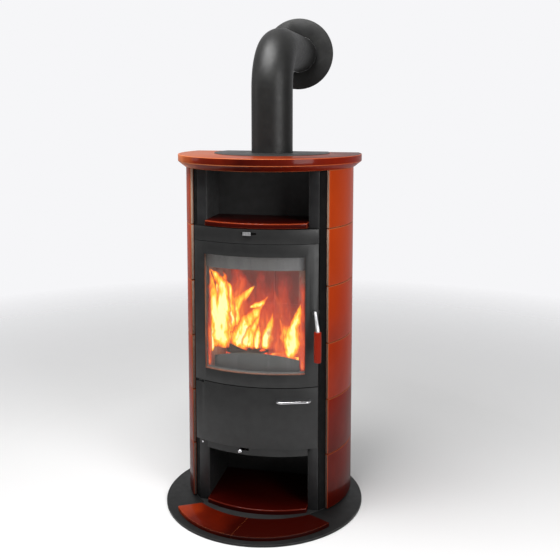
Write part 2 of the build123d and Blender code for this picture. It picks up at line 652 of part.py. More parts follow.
def door_skin():
    """Curved door plate with its window, folded edges, hinge blocks and the bush of the handle's spindle."""
    inner = FACE_R - DOOR_SKIN
    plate = face_panel(FACE_R, inner, -FACE_HALF, FACE_HALF, *DOOR_Z)
    right = face_panel(inner + 0.5, inner - RETURN / 2, FACE_HALF - DOOR_SKIN, FACE_HALF, *DOOR_Z)
    x0 = HINGE_X + 12
    bottom = face_panel(inner + 0.5, inner - RETURN, x0, FACE_HALF, DOOR_Z[0], DOOR_Z[0] + DOOR_SKIN)
    top = face_panel(inner + 0.5, inner - RETURN, x0, FACE_HALF, DOOR_Z[1] - DOOR_SKIN, DOOR_Z[1])
    window = face_panel(FACE_R + 5, inner - 5, -WINDOW_HALF, WINDOW_HALF, *WINDOW_Z)
    bush = latch_frame() * Pos(0, 0, BOSS_T / 2 - 1) * Cylinder(BOSS_R, BOSS_T + 2)
    spindle = latch_frame() * Cylinder(SPINDLE_R + PIN_CLEAR, 40)
    solid = plate + [right, bottom, top, bush] + hinge_blocks(*DOOR_Z)
    return solid - [window, spindle] - hinge_bores(*DOOR_Z)


def door_glazing():
    """Curved glass in its gasket, the clamp frame behind it and the door seal."""
    inner = FACE_R - DOOR_SKIN
    glass_r = inner - GLASS_BED
    half = WINDOW_HALF + GLASS_LAP
    z = (WINDOW_Z[0] - GLASS_LAP, WINDOW_Z[1] + GLASS_LAP)
    PARTS["door_glass"] = face_panel(glass_r, glass_r - GLASS_T, -half, half, *z)
    gasket = face_ring(inner, glass_r, half, z, WINDOW_HALF, WINDOW_Z)
    PARTS["glass_gasket"] = gasket
    clamp_r = glass_r - GLASS_T - FIT
    outer_z = (z[0] - CLAMP_LAP[1], z[1] + CLAMP_LAP[1])
    lip = (WINDOW_Z[0] - 1, WINDOW_Z[1] + 1)
    clamp = face_ring(clamp_r, clamp_r - CLAMP_T, half + CLAMP_LAP[0], outer_z, WINDOW_HALF + 0.5, lip)
    PARTS["glass_clamp_frame"] = clamp
    seal_r = FRAME_R + SEAL_GAP
    inside = WINDOW_HALF - 1
    z0, z1 = WINDOW_Z[0] - SEAL_W, WINDOW_Z[1] + SEAL_W
    seal = face_ring(clamp_r - CLAMP_T, seal_r, inside + SEAL_W, (z0, z1), inside, (z0 + SEAL_W, z1 - SEAL_W))
    PARTS["door_seal"] = seal


# ---------------------------------------------------------------- door handle
def door_handle():
    """Spindle with its tongue, the lever on it and the grip, turning together."""
    frame = latch_frame()
    foot = BOSS_T + SLIDE
    low = -SPINDLE_IN - TONGUE[2]
    spindle = Pos(0, 0, (foot + low) / 2) * Cylinder(SPINDLE_R, foot - low)
    width, reach, thick = TONGUE
    arm = Pos(reach / 2, 0, -SPINDLE_IN - thick / 2) * Box(reach + width, width, thick)
    PARTS["handle_spindle"] = frame * (spindle + arm)
    start = foot + LEVER_T / 2
    bend = (GRIP_OFF, -GRIP_Z[0] + 17)
    path = FilletPolyline((start, 0), (start + 4, -3), bend, (GRIP_OFF, -GRIP_Z[0]), radius=6)
    side = Plane(origin=(0, 0, 0), x_dir=(0, 0, 1), z_dir=(-1, 0, 0))
    lever = extrude(side * trace(path, LEVER_T), amount=LEVER_W / 2, both=True)
    hub = Pos(0, 0, foot + 2) * Cylinder(LEVER_W / 2 + 1, 4)
    PARTS["handle_lever"] = frame * (lever + hub)
    length = GRIP_Z[1] - GRIP_Z[0]
    grip = Rot(90, 0, 0) * Cylinder(GRIP_R, length)
    PARTS["handle_grip"] = frame * (Pos(0, -GRIP_Z[0] - length / 2, GRIP_OFF) * grip)


def latch_keeper():
    """Bent striker on the right post, beside the tongue's way."""
    plate = box(POST_IN + 6, POST_OUT - 4, POST_FRONT - 3, POST_FRONT, BOSS_Z - 42, BOSS_Z + 34)
    block = box(POST_OUT - 16, POST_OUT - 4, POST_FRONT - 10, POST_FRONT - 3, BOSS_Z - 34, BOSS_Z - 14)
    return plate + block


# ---------------------------------------------------------------- lower door
def lower_door():
    """Curved panel with returns, hinge blocks and a notch for the shared lug."""
    inner = FACE_R - PANEL_SKIN
    z0, z1 = LOW_DOOR_Z
    notch = z1 - LUG_T - 1
    plate = face_panel(FACE_R, inner, -FACE_HALF, FACE_HALF, z0, z1)
    x0 = HINGE_X + 12
    bottom = face_panel(inner + 0.5, inner - RETURN, x0, FACE_HALF, z0, z0 + PANEL_SKIN)
    top = face_panel(inner + 0.5, inner - RETURN, x0, FACE_HALF, z1 - PANEL_SKIN, z1)
    right = face_panel(inner + 0.5, inner - RETURN, FACE_HALF - PANEL_SKIN, FACE_HALF, z0, z1)
    gap = box(-FACE_HALF - 5, HINGE_X + 10, -FACE_R, 0, notch, z1 + 1)
    solid = plate + [bottom, top, right] + hinge_blocks(z0, notch)
    return solid - gap - hinge_bores(z0, notch)


def lower_door_bar():
    """Bright bar with both ends bent back to the door."""
    ends = [Vector(x, face_y(x, FACE_R - 1), BAR_Z) for x in BAR_X]
    chord = (ends[1] - ends[0]).normalized()
    out = Vector(chord.Y, -chord.X, 0)
    bend = 3 * BAR_R
    level = out * (BAR_OFF - bend)
    first = quarter(ends[0] + level + chord * bend, chord * -1, out, bend, BAR_STEPS)
    last = quarter(ends[1] + level - chord * bend, out, chord, bend, BAR_STEPS)
    path = Polyline(ends[0], *first, *last, ends[1])
    bar = sweep(Plane(origin=ends[0], z_dir=out) * Circle(BAR_R), path=path, transition=Transition.RIGHT)
    door = face_panel(FACE_R, FACE_R - BAR_OFF, 0, FACE_HALF, BAR_Z - 2 * BAR_R, BAR_Z + 2 * BAR_R)
    return bar - door


# ---------------------------------------------------------------- top plate and flue
def top_tile():
    """Ceramic top: upright rim over an undercut, open at the back where the steel insert lies."""
    z0 = TILE_TOP + FIT
    low, high = TOP_RIM_Z
    profile = Polyline((0, z0), (TOP_FOOT_R, z0), (TOP_R, low), (TOP_R, high), (0, high), close=True)
    body = revolve(Plane.XZ * make_face(profile), axis=Axis.Z)
    body = body - box(-TOP_R, TOP_R, TOP_BACK, TOP_R, z0 - 1, high + 1)
    seat = upright(INSERT_R + 1, high - INSERT_T + INSERT_PROUD, high + 1, y=FLUE_Y)
    well = upright(INSERT_R - INSERT_LEDGE, z0 - 1, high + 1, y=FLUE_Y)
    return body - seat - well


def top_insert():
    z0 = TOP_RIM_Z[1] - INSERT_T + INSERT_PROUD
    disc = upright(INSERT_R, z0, z0 + INSERT_T, y=FLUE_Y)
    disc = disc - box(-INSERT_R, INSERT_R, TOP_BACK - 1, 2 * INSERT_R, z0 - 1, z0 + INSERT_T + 1)
    return disc - upright(FLUE_R + 1, z0 - 1, z0 + INSERT_T + 1, y=FLUE_Y)


def level_pipe(radius, y0, y1):
    """Cylinder along Y at the height of the flue's level leg."""
    return Pos(0, (y0 + y1) / 2, FLUE_Z) * Rot(90, 0, 0) * Cylinder(radius, y1 - y0)


def flue_pipe():
    """Pipe with a smooth elbow: upright leg, quarter bend, level leg to the wall and its drawn-in end."""
    z0 = SHELL_TOP + SHELL_T + FIT
    centre = Vector(0, FLUE_Y + FLUE_BEND, FLUE_Z - FLUE_BEND)
    end = WALL_Y + FLUE_END_L
    outer = upright(FLUE_R, z0, centre.Z, y=FLUE_Y)
    outer = outer + revolve(Pos(0, FLUE_Y, centre.Z) * Circle(FLUE_R), Axis(tuple(centre), (-1, 0, 0)), 90)
    outer = outer + level_pipe(FLUE_R, centre.Y, WALL_Y) + level_pipe(FLUE_END_R, WALL_Y, end)
    turn = quarter(centre, Vector(0, -1, 0), Vector(0, 0, 1), FLUE_BEND, BORE_STEPS)
    route = Polyline((0, FLUE_Y, z0 - 1), *turn, (0, end + 1, FLUE_Z))
    bore = sweep(Pos(0, FLUE_Y, z0 - 1) * Circle(FLUE_R - FLUE_T), path=route, transition=Transition.RIGHT)
    return outer - bore


def wall_rosette():
    """Cover ring on the wall round the pipe."""
    front = WALL_Y - ROSETTE_T
    return level_pipe(ROSETTE_R, front, WALL_Y) - level_pipe(FLUE_R + FIT, front - 1, WALL_Y + 1)


# ---------------------------------------------------------------- assembly
def build():
    PARTS["floor_plate"] = floor_plate()
    PARTS["base_plate"] = base_plate()
    hearth_tiles()
    posts()
    tile_carriers()
    side_tiles()
    PARTS["back_panel"] = back_panel()
    PARTS["store_liner"] = store_liner()
    PARTS["store_tile"] = store_tile()
    PARTS["ash_floor"] = ash_floor()
    PARTS["store_apron"] = apron()
    PARTS["primary_air_slide"] = primary_air()
    PARTS["ash_pan"] = ash_pan()
    PARTS["firebox_shell"] = firebox_shell()
    PARTS["firebox_floor"] = firebox_floor()
    PARTS["firebox_top"] = firebox_top()
    PARTS["firebox_front"] = firebox_front()
    bricks()
    PARTS["grate"] = grate()
    PARTS["baffle_plate"] = baffle()
    PARTS["log_retainer"] = log_retainer()
    PARTS["niche_liner"] = niche_liner()
    PARTS["niche_shelf_tile"] = shelf_tile()
    PARTS["air_band"] = air_band()
    PARTS["air_slider"] = air_slider()
    hinge_hardware()
    PARTS["door_skin"] = door_skin()
    door_glazing()
    door_handle()
    PARTS["latch_keeper"] = latch_keeper()
    PARTS["lower_door"] = lower_door()
    PARTS["lower_door_bar"] = lower_door_bar()
    PARTS["top_tile"] = top_tile()
    PARTS["top_insert"] = top_insert()
    PARTS["flue_pipe"] = flue_pipe()
    PARTS["wall_rosette"] = wall_rosette()


def write():
    os.makedirs("parts", exist_ok=True)
    for name, shape in PARTS.items():
        export_step(shape, os.path.join("parts", name + ".step"))
    print(len(PARTS), "sub-parts written")


build()
write()
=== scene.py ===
# %% [markdown]
# # A tiled wood stove
# The real stove is a steel body between two columns of glazed tiles, with a curved glass door in front of a fire. Its
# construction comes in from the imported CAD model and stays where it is. This file adds what the CAD leaves out: glaze,
# stove paint, rounded edges, the bent bar, the lever, the rope of the door, the screws of the back, and the fire.

# %% Load the construction
import json
import math

import bmesh
import bpy
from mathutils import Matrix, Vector, noise

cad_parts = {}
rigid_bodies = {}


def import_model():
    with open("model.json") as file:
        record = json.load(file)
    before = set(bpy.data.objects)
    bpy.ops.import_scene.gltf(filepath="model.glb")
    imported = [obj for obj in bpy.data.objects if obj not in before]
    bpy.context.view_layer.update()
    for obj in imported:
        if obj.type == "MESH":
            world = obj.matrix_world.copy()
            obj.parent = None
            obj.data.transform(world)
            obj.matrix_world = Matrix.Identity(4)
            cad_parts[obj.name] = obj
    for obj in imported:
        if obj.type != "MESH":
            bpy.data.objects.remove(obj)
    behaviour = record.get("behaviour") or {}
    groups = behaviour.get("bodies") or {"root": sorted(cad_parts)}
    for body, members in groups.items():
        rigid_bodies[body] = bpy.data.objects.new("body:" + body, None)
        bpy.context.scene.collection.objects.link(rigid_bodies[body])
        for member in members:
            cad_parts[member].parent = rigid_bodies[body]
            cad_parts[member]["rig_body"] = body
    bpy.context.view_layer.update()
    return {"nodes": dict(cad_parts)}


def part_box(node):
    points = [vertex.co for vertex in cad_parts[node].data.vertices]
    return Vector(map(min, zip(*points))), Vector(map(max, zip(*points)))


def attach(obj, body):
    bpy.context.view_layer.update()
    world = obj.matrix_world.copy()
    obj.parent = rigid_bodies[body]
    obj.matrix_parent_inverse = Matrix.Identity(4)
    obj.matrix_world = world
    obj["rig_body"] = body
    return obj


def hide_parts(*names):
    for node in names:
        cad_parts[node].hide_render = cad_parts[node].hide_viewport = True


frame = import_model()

SCENE = bpy.context.scene
SCENE.view_settings.view_transform = "Standard"

# %% [markdown]
# ## Small tools for node trees
# Every finish is a node tree on Object coordinates, so a pattern stays put when a door swings and no picture file is
# needed. One helper adds a node to any tree and fills its inputs. The others each say one thing: a coordinate, noise,
# a sum, a range, colours along a value, a bump. Colours are screen levels from 0 to 255; one number alone is a grey.

# %% Colours and nodes
def srgb(*levels):
    """Screen colour as the linear colour that a shader wants."""
    parts = [c / 255 for c in (levels * 3)[:3]]
    return tuple(c / 12.92 if c <= 0.04045 else ((c + 0.055) / 1.055) ** 2.4 for c in parts) + (1.0,)


def fill(tree, socket, value):
    """Give an input a link from another node, or a plain value."""
    if isinstance(value, bpy.types.NodeSocket):
        tree.links.new(value, socket)
    else:
        socket.default_value = value


def add(tree, kind, inputs=None, out=0, **settings):
    """Add a node to a shader or geometry tree and give back one of its outputs."""
    if "Node" not in kind:
        kind = ("ShaderNode" if tree.type == "SHADER" else "GeometryNode") + kind
    node = tree.nodes.new(kind)
    for key, value in settings.items():
        setattr(node, key, value)
    for key, value in (inputs or {}).items():
        fill(tree, node.inputs[key], value)
    return node.outputs[out]


# %% Start and end a material
def feed(tree, **sockets):
    """Fill sockets of the Principled shader; an underscore stands for a space."""
    for key, value in sockets.items():
        fill(tree, tree.nodes["Principled BSDF"].inputs[key.replace("_", " ")], value)


def finish(name, **sockets):
    """New material and its tree."""
    material = bpy.data.materials.new(name)
    material.use_nodes = True
    feed(material.node_tree, **sockets)
    return material, material.node_tree


def ray(tree, kind):
    return add(tree, "LightPath", out="Is %s Ray" % kind)


def show_mix(tree, share, first, second):
    """Send a mix of two shaders to the tree's output."""
    output = next(node for node in tree.nodes if node.type.startswith("OUTPUT"))
    tree.links.new(add(tree, "MixShader", {"Fac": share, 1: first, 2: second}), output.inputs["Surface"])


# %% Coordinates and noise
def place(tree, stretch=(1, 1, 1)):
    """Object coordinates, stretched along the axes."""
    return add(tree, "Mapping", {"Vector": add(tree, "TexCoord", out="Object"), "Scale": stretch})


def along(tree, axis):
    """One of the three object coordinates."""
    return add(tree, "SeparateXYZ", {"Vector": place(tree)}, axis)


def grain(tree, scale, detail=3.0, stretch=(1, 1, 1), distortion=0.0):
    """Noise between 0 and 1 with a number of features a metre."""
    inputs = {"Vector": place(tree, stretch), "Scale": scale, "Detail": detail, "Distortion": distortion}
    return add(tree, "TexNoise", inputs, "Fac")


# %% Sums, ramps and bumps
def calculate(tree, operation, first, second=0):
    """One step of arithmetic; each side is a socket or a number."""
    return add(tree, "ShaderNodeMath", {0: first, 1: second}, operation=operation)


def spread(tree, value, low, high, start=0.3, end=0.7):
    """A value from start to end, brought between low and high."""
    inputs = {"Value": value, "From Min": start, "From Max": end, "To Min": low, "To Max": high}
    return add(tree, "MapRange", inputs)


def ramp(tree, value, stops):
    """Colours along a value: a list of (position, colour)."""
    node = tree.nodes.new("ShaderNodeValToRGB")
    elements = node.color_ramp.elements
    for element, (position, colour) in zip(elements, (stops[0], stops[-1])):
        element.position = position
        element.color = srgb(*colour)
    for position, colour in stops[1:-1]:
        elements.new(position).color = srgb(*colour)
    tree.links.new(value, node.inputs["Fac"])
    return node.outputs["Color"]


def bump(tree, height, depth):
    """The normal, bumped by a depth in metres."""
    return add(tree, "Bump", {"Height": height, "Distance": depth})


# %% [markdown]
# ## The glaze
# The tiles are pressed clay under a thick glossy glaze. In one glossy shader the shine would bleach the colour, so the
# glaze is made as it really is: a coloured body with little shine, under a thin clear coat that does the mirroring.
# The side tiles go from orange at the top to deep red at the floor, a painted fall-off of light from above, so their
# colour follows the height. On the hearth and top tiles it follows the width, with painted light, shade and reflection
# that are mostly light at the left end and darker to the right. Shelf and store tiles take a darker copy of the glaze,
# painted shade. Noise breaks it up, and each side tile has a tone of its own. A slow shallow bump makes reflections
# waver. Thin glaze on the edges shows lighter, with a painted highlight on it, and the side tiles' ends are bare clay,
# painted lighter further up.

# %% Glaze
def glaze(name, stops, gloss, axis="Z", reach=(0.0, 1.0), tone_of_tile=False):
    """Coloured body under a clear coat; the colour runs through the stops along an axis."""
    material, tree = finish(name, Roughness=0.45, Specular_IOR_Level=0.04, Coat_Weight=0.24, Coat_Roughness=gloss)
    value = spread(tree, along(tree, axis), 0.04, 0.9, *reach)
    value = calculate(tree, "ADD", value, spread(tree, grain(tree, 8, 4, (1, 1, 0.5)), -0.07, 0.07))
    if tone_of_tile:
        tone = add(tree, "Attribute", out="Fac", attribute_name="tone")
        value = calculate(tree, "ADD", value, spread(tree, tone, -0.05, 0.05, 0, 1))
    waves = bump(tree, grain(tree, 26, 1), 0.0004)
    feed(tree, Base_Color=ramp(tree, value, stops), Normal=waves, Coat_Normal=waves)
    return material


# Side tiles: orange at the top, deep red at the floor, a painted fall-off of light from above.
TILE_STOPS_PAINTED_FALLOFF = [(0.1, (66, 7, 1)), (0.35, (114, 20, 2)), (0.6, (166, 48, 8)), (0.9, (180, 60, 12))]
# Shelf, store tile and the side tiles' lower edges: the glaze darkened, a painted shade copy.
SHADED_STOPS = [(0.0, (46, 3, 1)), (1.0, (68, 6, 1))]
# Hearth tiles: bright at the left end and dark to the right, painted light and shade.
HEARTH_STOPS_PAINTED_LIGHT = [(0.1, (150, 48, 14)), (0.24, (90, 18, 3)), (0.42, (44, 4, 1)), (0.9, (44, 4, 1))]
# Top tile rim: light at the left end and dark in the middle, painted light and shade.
RIM_STOPS_PAINTED_LIGHT_AND_SHADE = [(0.05, (208, 110, 54)), (0.22, (120, 30, 7)), (0.42, (60, 6, 1)), (0.9, (130, 28, 5))]
# Top face: pale at the left, dark to the right, a painted reflection.
ROOF_STOPS_PAINTED_REFLECTION = [(0.1, (154, 76, 38)), (0.5, (126, 44, 15)), (0.9, (58, 12, 3))]
GRIP = [(0.5, (134, 26, 7)), (0.8, (158, 38, 11))]
# Rounded edges: lighter, partly from thinner glaze and partly a painted highlight.
THIN_AND_HIGHLIGHT = [(0.0, (120, 40, 20)), (1.0, (196, 108, 66))]
THIN_SHADED_AND_HIGHLIGHT = [(0.0, (78, 15, 5)), (1.0, (160, 62, 30))]
THIN_HEARTH_AND_HIGHLIGHT = [(0.1, (214, 126, 76)), (0.9, (176, 78, 40))]
THIN_RIM_AND_HIGHLIGHT = [(0.1, (206, 120, 74)), (0.9, (172, 70, 32))]
WIDTH = (-0.33, 0.33)
TILE_GLAZE = glaze("tile_glaze", TILE_STOPS_PAINTED_FALLOFF, 0.13, tone_of_tile=True)
SHADED_GLAZE = glaze("dark_glaze", SHADED_STOPS, 0.12)
HEARTH_GLAZE = glaze("hearth_glaze", HEARTH_STOPS_PAINTED_LIGHT, 0.12, "X", WIDTH)
RIM_GLAZE_PAINTED_LIGHT_AND_SHADE = glaze("rim_glaze", RIM_STOPS_PAINTED_LIGHT_AND_SHADE, 0.11, "X", WIDTH)
TOP_GLAZE_PAINTED_REFLECTION = glaze("top_glaze", ROOF_STOPS_PAINTED_REFLECTION, 0.14, "X", WIDTH)
RIM_EDGE_AND_HIGHLIGHT = glaze("rim_glaze_edge", THIN_RIM_AND_HIGHLIGHT, 0.14, "X", WIDTH)
SHADED_EDGE_AND_HIGHLIGHT = glaze("dark_glaze_edge", THIN_SHADED_AND_HIGHLIGHT, 0.2)
HEARTH_EDGE_AND_HIGHLIGHT = glaze("hearth_glaze_edge", THIN_HEARTH_AND_HIGHLIGHT, 0.2, "X", WIDTH)
THIN_GLAZE_AND_HIGHLIGHT = glaze("thin_glaze_edge", THIN_AND_HIGHLIGHT, 0.2)
FIRED_GRIP = glaze("fired_grip", GRIP, 0.2)
print("glazes", [m.name for m in (TILE_GLAZE, SHADED_GLAZE, HEARTH_GLAZE, RIM_GLAZE_PAINTED_LIGHT_AND_SHADE, TOP_GLAZE_PAINTED_REFLECTION, FIRED_GRIP)])

# %% Bare clay, painted lighter further up
def bare_clay():
    material, tree = finish("bare_clay", Roughness=0.9)
    # Lighter further up: painted light, broken up by noise.
    lit_height = calculate(tree, "ADD", along(tree, "Z"), spread(tree, grain(tree, 120, 4), -0.1, 0.1))
    stops = [(0.1, (92, 74, 66)), (0.55, (138, 112, 98)), (1.0, (216, 190, 170))]
    feed(tree, Base_Color=ramp(tree, lit_height, stops), Normal=bump(tree, grain(tree, 500), 0.0004))
    return material


BARE_CLAY = bare_clay()
print("made", BARE_CLAY.name)

# %% [markdown]
# ## Stove paint and steel
# Stove paint is a satin silicone paint: dark grey, a little uneven in gloss, with a fine orange-peel skin. Inside the
# firebox it burns matt. Narrow gaps between plates are painted near black, a painted shade, and so are the tile
# carriers and the strip behind the air tab. The floor plate gets a darker copy of the paint, painted shade, and the
# niche liner a lighter one, painted light. The bar, the knob and the pins are polished steel, the lever and the tab
# are satin. What faces the fire is bare: the log retainer is brushed upright, and the cut edge of the window has
# browned. Noise stretched along one axis gives the drawing lines of all of them.

# %% Paint and steel
def stove_paint(name, dark, light, gloss, metal=0.2, shine=0.45):
    material, tree = finish(name, Metallic=metal, Specular_IOR_Level=shine)
    feed(tree, Base_Color=ramp(tree, grain(tree, 30, 4), [(0.35, dark), (0.65, light)]),
         Roughness=spread(tree, grain(tree, 55, 2), *gloss), Normal=bump(tree, grain(tree, 1400, 2), 0.00012))
    return material


def brushed_steel(name, dark, light, stretch, gloss, metal=1.0):
    material, tree = finish(name, Metallic=metal)
    lines = grain(tree, 260, 2, stretch)
    feed(tree, Base_Color=ramp(tree, lines, [(0.35, dark), (0.65, light)]), Roughness=spread(tree, lines, *gloss))
    return material


CASING = stove_paint("casing_grey", (38,), (43,), (0.4, 0.48))
# A darker copy of the casing paint for the floor plate, whose upper face is lit: painted shade.
PLATE_PAINTED_SHADE = stove_paint("plate_grey", (22,), (27,), (0.42, 0.5), shine=0.3)
# Lighter edge paint: rubbed wear and a painted highlight.
CASING_EDGE_WEAR_AND_SHEEN = stove_paint("casing_edge", (50,), (62,), (0.32, 0.4))
FLUE = stove_paint("flue_grey", (27,), (32, 32, 31), (0.42, 0.5))
# A lighter copy of the stove paint for the niche liner: painted light in the niche.
LINER_PAINTED_LIGHT = stove_paint("liner_grey", (58,), (66,), (0.4, 0.5))
BLACK = stove_paint("firebox_black", (24,), (34, 33, 32), (0.6, 0.8))
POST = stove_paint("post_grey", (37, 37, 38), (44, 44, 45), (0.36, 0.46))
# Near black for narrow gaps, carriers and the slot: painted shade.
GAP_PAINTED_SHADE = stove_paint("gap_black", (10,), (16,), (0.6, 0.8), metal=0.0, shine=0.12)
STEEL = brushed_steel("bright_steel", (200, 200, 203), (222, 222, 224), (1, 1, 12), (0.16, 0.28))
SATIN = brushed_steel("satin_steel", (172, 172, 174), (200, 200, 202), (1, 1, 0.2), (0.32, 0.42), 0.7)
TINTED = brushed_steel("heat_tinted_steel", (128, 80, 60), (176, 116, 88), (0.4, 0.4, 0.1), (0.35, 0.5), 0.6)
ROLLED = brushed_steel("rolled_steel", (62, 63, 63), (78, 79, 79), (0.4, 0.4, 0.01), (0.28, 0.36), 0.6)
print("steels", [m.name for m in (STEEL, SATIN, TINTED, ROLLED)])

# %% [markdown]
# ## Firebrick, cast iron and rope
# Firebricks are sandy, pitted and sooty in clouds. The grate is grey iron with rust in its hollows. The door rope is
# spun glass fibre, grey and hairy, so it gets a little sheen. All three are one recipe: noise for the colour, finer
# noise for the bump.

# %% Mineral and fibre finishes
def rough_matter(name, stops, clouds, pits, depth, **sockets):
    """Colour by one noise and bump by another, each given as the numbers for grain."""
    material, tree = finish(name, **sockets)
    feed(tree, Base_Color=ramp(tree, grain(tree, *clouds), stops), Normal=bump(tree, grain(tree, *pits), depth))
    return material


SAND = [(0.3, (104, 68, 56)), (0.52, (178, 124, 100)), (0.75, (214, 166, 136))]
IRON = [(0.3, (34, 32, 31)), (0.7, (78, 60, 50))]
FIBRE = [(0.35, (62, 61, 58)), (0.65, (112, 110, 104))]
FIREBRICK = rough_matter("firebrick", SAND, (7, 5, (1, 1, 0.6)), (420, 5), 0.0012, Roughness=0.95)
CAST_IRON = rough_matter("cast_iron", IRON, (60, 4), (600, 4), 0.0008, Metallic=0.6, Roughness=0.7)
ROPE = rough_matter("sealing_rope", FIBRE, (900, 2), (1500, 2), 0.0005, Roughness=0.9, Sheen_Weight=0.3)
print("made", FIREBRICK.name, CAST_IRON.name, ROPE.name)

# %% [markdown]
# ## The glass
# The door glass is a 4 mm ceramic pane. Solid refracting glass would keep the lamps and the fire's light from passing,
# so the pane is plainly see-through for the rays that only carry light. A very little of it isn't clear: a pale veil,
# a painted reflection of the room, that greys the fire behind it.

# %% Door glass
def door_glass():
    # The 1.5 % that isn't clear is near white: a painted reflection veiling the fire.
    material, tree = finish("door_glass", Roughness=0.0, Transmission_Weight=0.985, IOR=1.4)
    feed(tree, Base_Color=ramp(tree, grain(tree, 6), [(0.3, (250, 248, 244)), (0.7, (255,))]))
    carried = calculate(tree, "MAXIMUM", ray(tree, "Shadow"), ray(tree, "Diffuse"))
    show_mix(tree, carried, tree.nodes["Principled BSDF"].outputs[0], add(tree, "BsdfTransparent"))
    return material


GLASS = door_glass()
print("made", GLASS.name)

# %% [markdown]
# ## Rounded edges
# No pressed tile and no folded sheet has a knife edge, and the thin line of light along each edge makes a plate look
# real. The CAD nodes have plain edges, so each plate that shows gets a copy here: its loose triangles are merged, flat
# runs are dissolved and a Bevel modifier rounds what is sharp. The bevel gives its own faces the last material, which
# is how tiles get thin glaze and plates a rubbed edge; both are also painted lighter, a painted highlight.

# %% Copy a node and finish it
FLAT, SHARP = math.radians(0.6), math.radians(35)


def merged_copy(node):
    """Bmesh of a CAD node, closed and with its flat runs joined."""
    shape = bmesh.new()
    shape.from_mesh(frame["nodes"][node].data)
    bmesh.ops.remove_doubles(shape, verts=shape.verts, dist=1e-6)
    bmesh.ops.dissolve_limit(shape, angle_limit=FLAT, verts=shape.verts, edges=shape.edges)
    return shape


def piece_from(name, shape, *materials):
    """Object in the scene from a bmesh or a mesh."""
    mesh = shape
    if isinstance(shape, bmesh.types.BMesh):
        mesh = bpy.data.meshes.new(name)
        shape.to_mesh(mesh)
        shape.free()
    piece = bpy.data.objects.new(name, mesh)
    SCENE.collection.objects.link(piece)
    if materials:
        mesh.materials.clear()
    for material in materials:
        mesh.materials.append(material)
    return piece


def plain(piece):
    """The piece with its modifiers made into plain mesh; a curve becomes a mesh too."""
    name = piece.name
    evaluated = piece.evaluated_get(bpy.context.evaluated_depsgraph_get())
    mesh = bpy.data.meshes.new_from_object(evaluated)
    bpy.data.objects.remove(piece)
    return piece_from(name, mesh)


def smooth(piece, sharp_degrees=30):
    piece.data.shade_smooth()
    piece.data.set_sharp_from_angle(angle=math.radians(sharp_degrees))
    return piece


def round_edges(piece, width, segments=2, own_material=True):
    """Every sharp edge rounded; the new faces take the last material, or that of their neighbours."""
    edges = piece.modifiers.new("edges", "BEVEL")
    edges.width = width
    edges.segments = segments
    edges.limit_method = "ANGLE"
    edges.angle_limit = SHARP
    if own_material:
        edges.material = max(len(piece.data.materials) - 1, 0)
    return smooth(plain(piece))


def add_to(shape, extra):
    """Put a second bmesh into the first and let it go."""
    mesh = bpy.data.meshes.new("extra")
    extra.to_mesh(mesh)
    extra.free()
    shape.from_mesh(mesh)


def stands_for(piece, *nodes):
    """The piece moves with the nodes' body and hides them."""
    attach(piece, frame["nodes"][nodes[0]]["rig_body"])
    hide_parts(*nodes)
    return piece


def rounded(node, width, *materials, segments=2):
    """Finished piece for a node: the same plate with its edges rounded by width, in metres."""
    piece = piece_from("finished_" + node, merged_copy(node), *materials)
    return stands_for(round_edges(piece, width, segments), node)


# %% Tiles that lie by themselves
TILE_EDGE = 0.0022
for node in ("niche_shelf_tile", "store_tile", "hearth_tile_left", "hearth_tile_right"):
    # Hearth tiles take the glaze with painted light at the left end; shelf and store tile the darker copy, painted
    # shade.
    glazes = (HEARTH_GLAZE, HEARTH_EDGE_AND_HIGHLIGHT) if "hearth" in node else (SHADED_GLAZE, SHADED_EDGE_AND_HIGHLIGHT)
    piece = rounded(node, TILE_EDGE, *glazes, segments=3)
    print(piece.name, len(piece.data.polygons))

# %% [markdown]
# ## The top tile
# The top tile lies level. Its upper face is painted paler than its moulded rim, a painted reflection that runs from
# pale at the left to dark at the right; the rim is painted light at its ends and dark in the middle, painted light and
# shade. Each face picks its own glaze by the way it faces, up or not, and the rounded edges take a third, with a
# painted highlight.

# %% Glaze the top tile
UPWARD = 0.9


def top_tile():
    piece = piece_from("finished_top_tile", merged_copy("top_tile"), TOP_GLAZE_PAINTED_REFLECTION, RIM_GLAZE_PAINTED_LIGHT_AND_SHADE, RIM_EDGE_AND_HIGHLIGHT)
    # Faces turned up take the paler glaze, painted reflection; the rest the rim glaze, painted light and shade.
    for face in piece.data.polygons:
        face.material_index = int(face.normal.z < UPWARD)
    return stands_for(round_edges(piece, TILE_EDGE, 3), "top_tile")


print("top tile", len(top_tile().data.polygons))

# %% [markdown]
# ## Geometry Nodes
# What repeats or follows a path is made by Geometry Nodes. A tree is built here with named inputs for its sizes. To
# use one, the helper writes each value to the input of that name before the object is first evaluated, and then turns
# the result into plain mesh.

# %% Build and use a node tree
def new_tree(name, **sizes):
    """Geometry tree with named inputs, each given as a default number or as a kind of data."""
    tree = bpy.data.node_groups.new(name, "GeometryNodeTree")
    tree.interface.new_socket("Geometry", in_out="INPUT", socket_type="NodeSocketGeometry")
    for label, value in sizes.items():
        kind = value if isinstance(value, str) else type(value).__name__.capitalize()
        socket = tree.interface.new_socket(label.replace("_", " "), in_out="INPUT", socket_type="NodeSocket" + kind)
        if kind != value:
            socket.default_value = value
    tree.interface.new_socket("Geometry", in_out="OUTPUT", socket_type="NodeSocketGeometry")
    return tree, tree.nodes.new("NodeGroupInput").outputs, tree.nodes.new("NodeGroupOutput").inputs[0]


def join(tree, *parts):
    node = tree.nodes.new("GeometryNodeJoinGeometry")
    for part in parts:
        tree.links.new(part, node.inputs[0])
    return node.outputs[0]


def close_tree(tree, geometry, material, out):
    """The end of a tree: smooth, real geometry with its material."""
    real = add(tree, "RealizeInstances", {"Geometry": add(tree, "SetShadeSmooth", {"Geometry": geometry})})
    tree.links.new(add(tree, "SetMaterial", {"Geometry": real, "Material": material}), out)


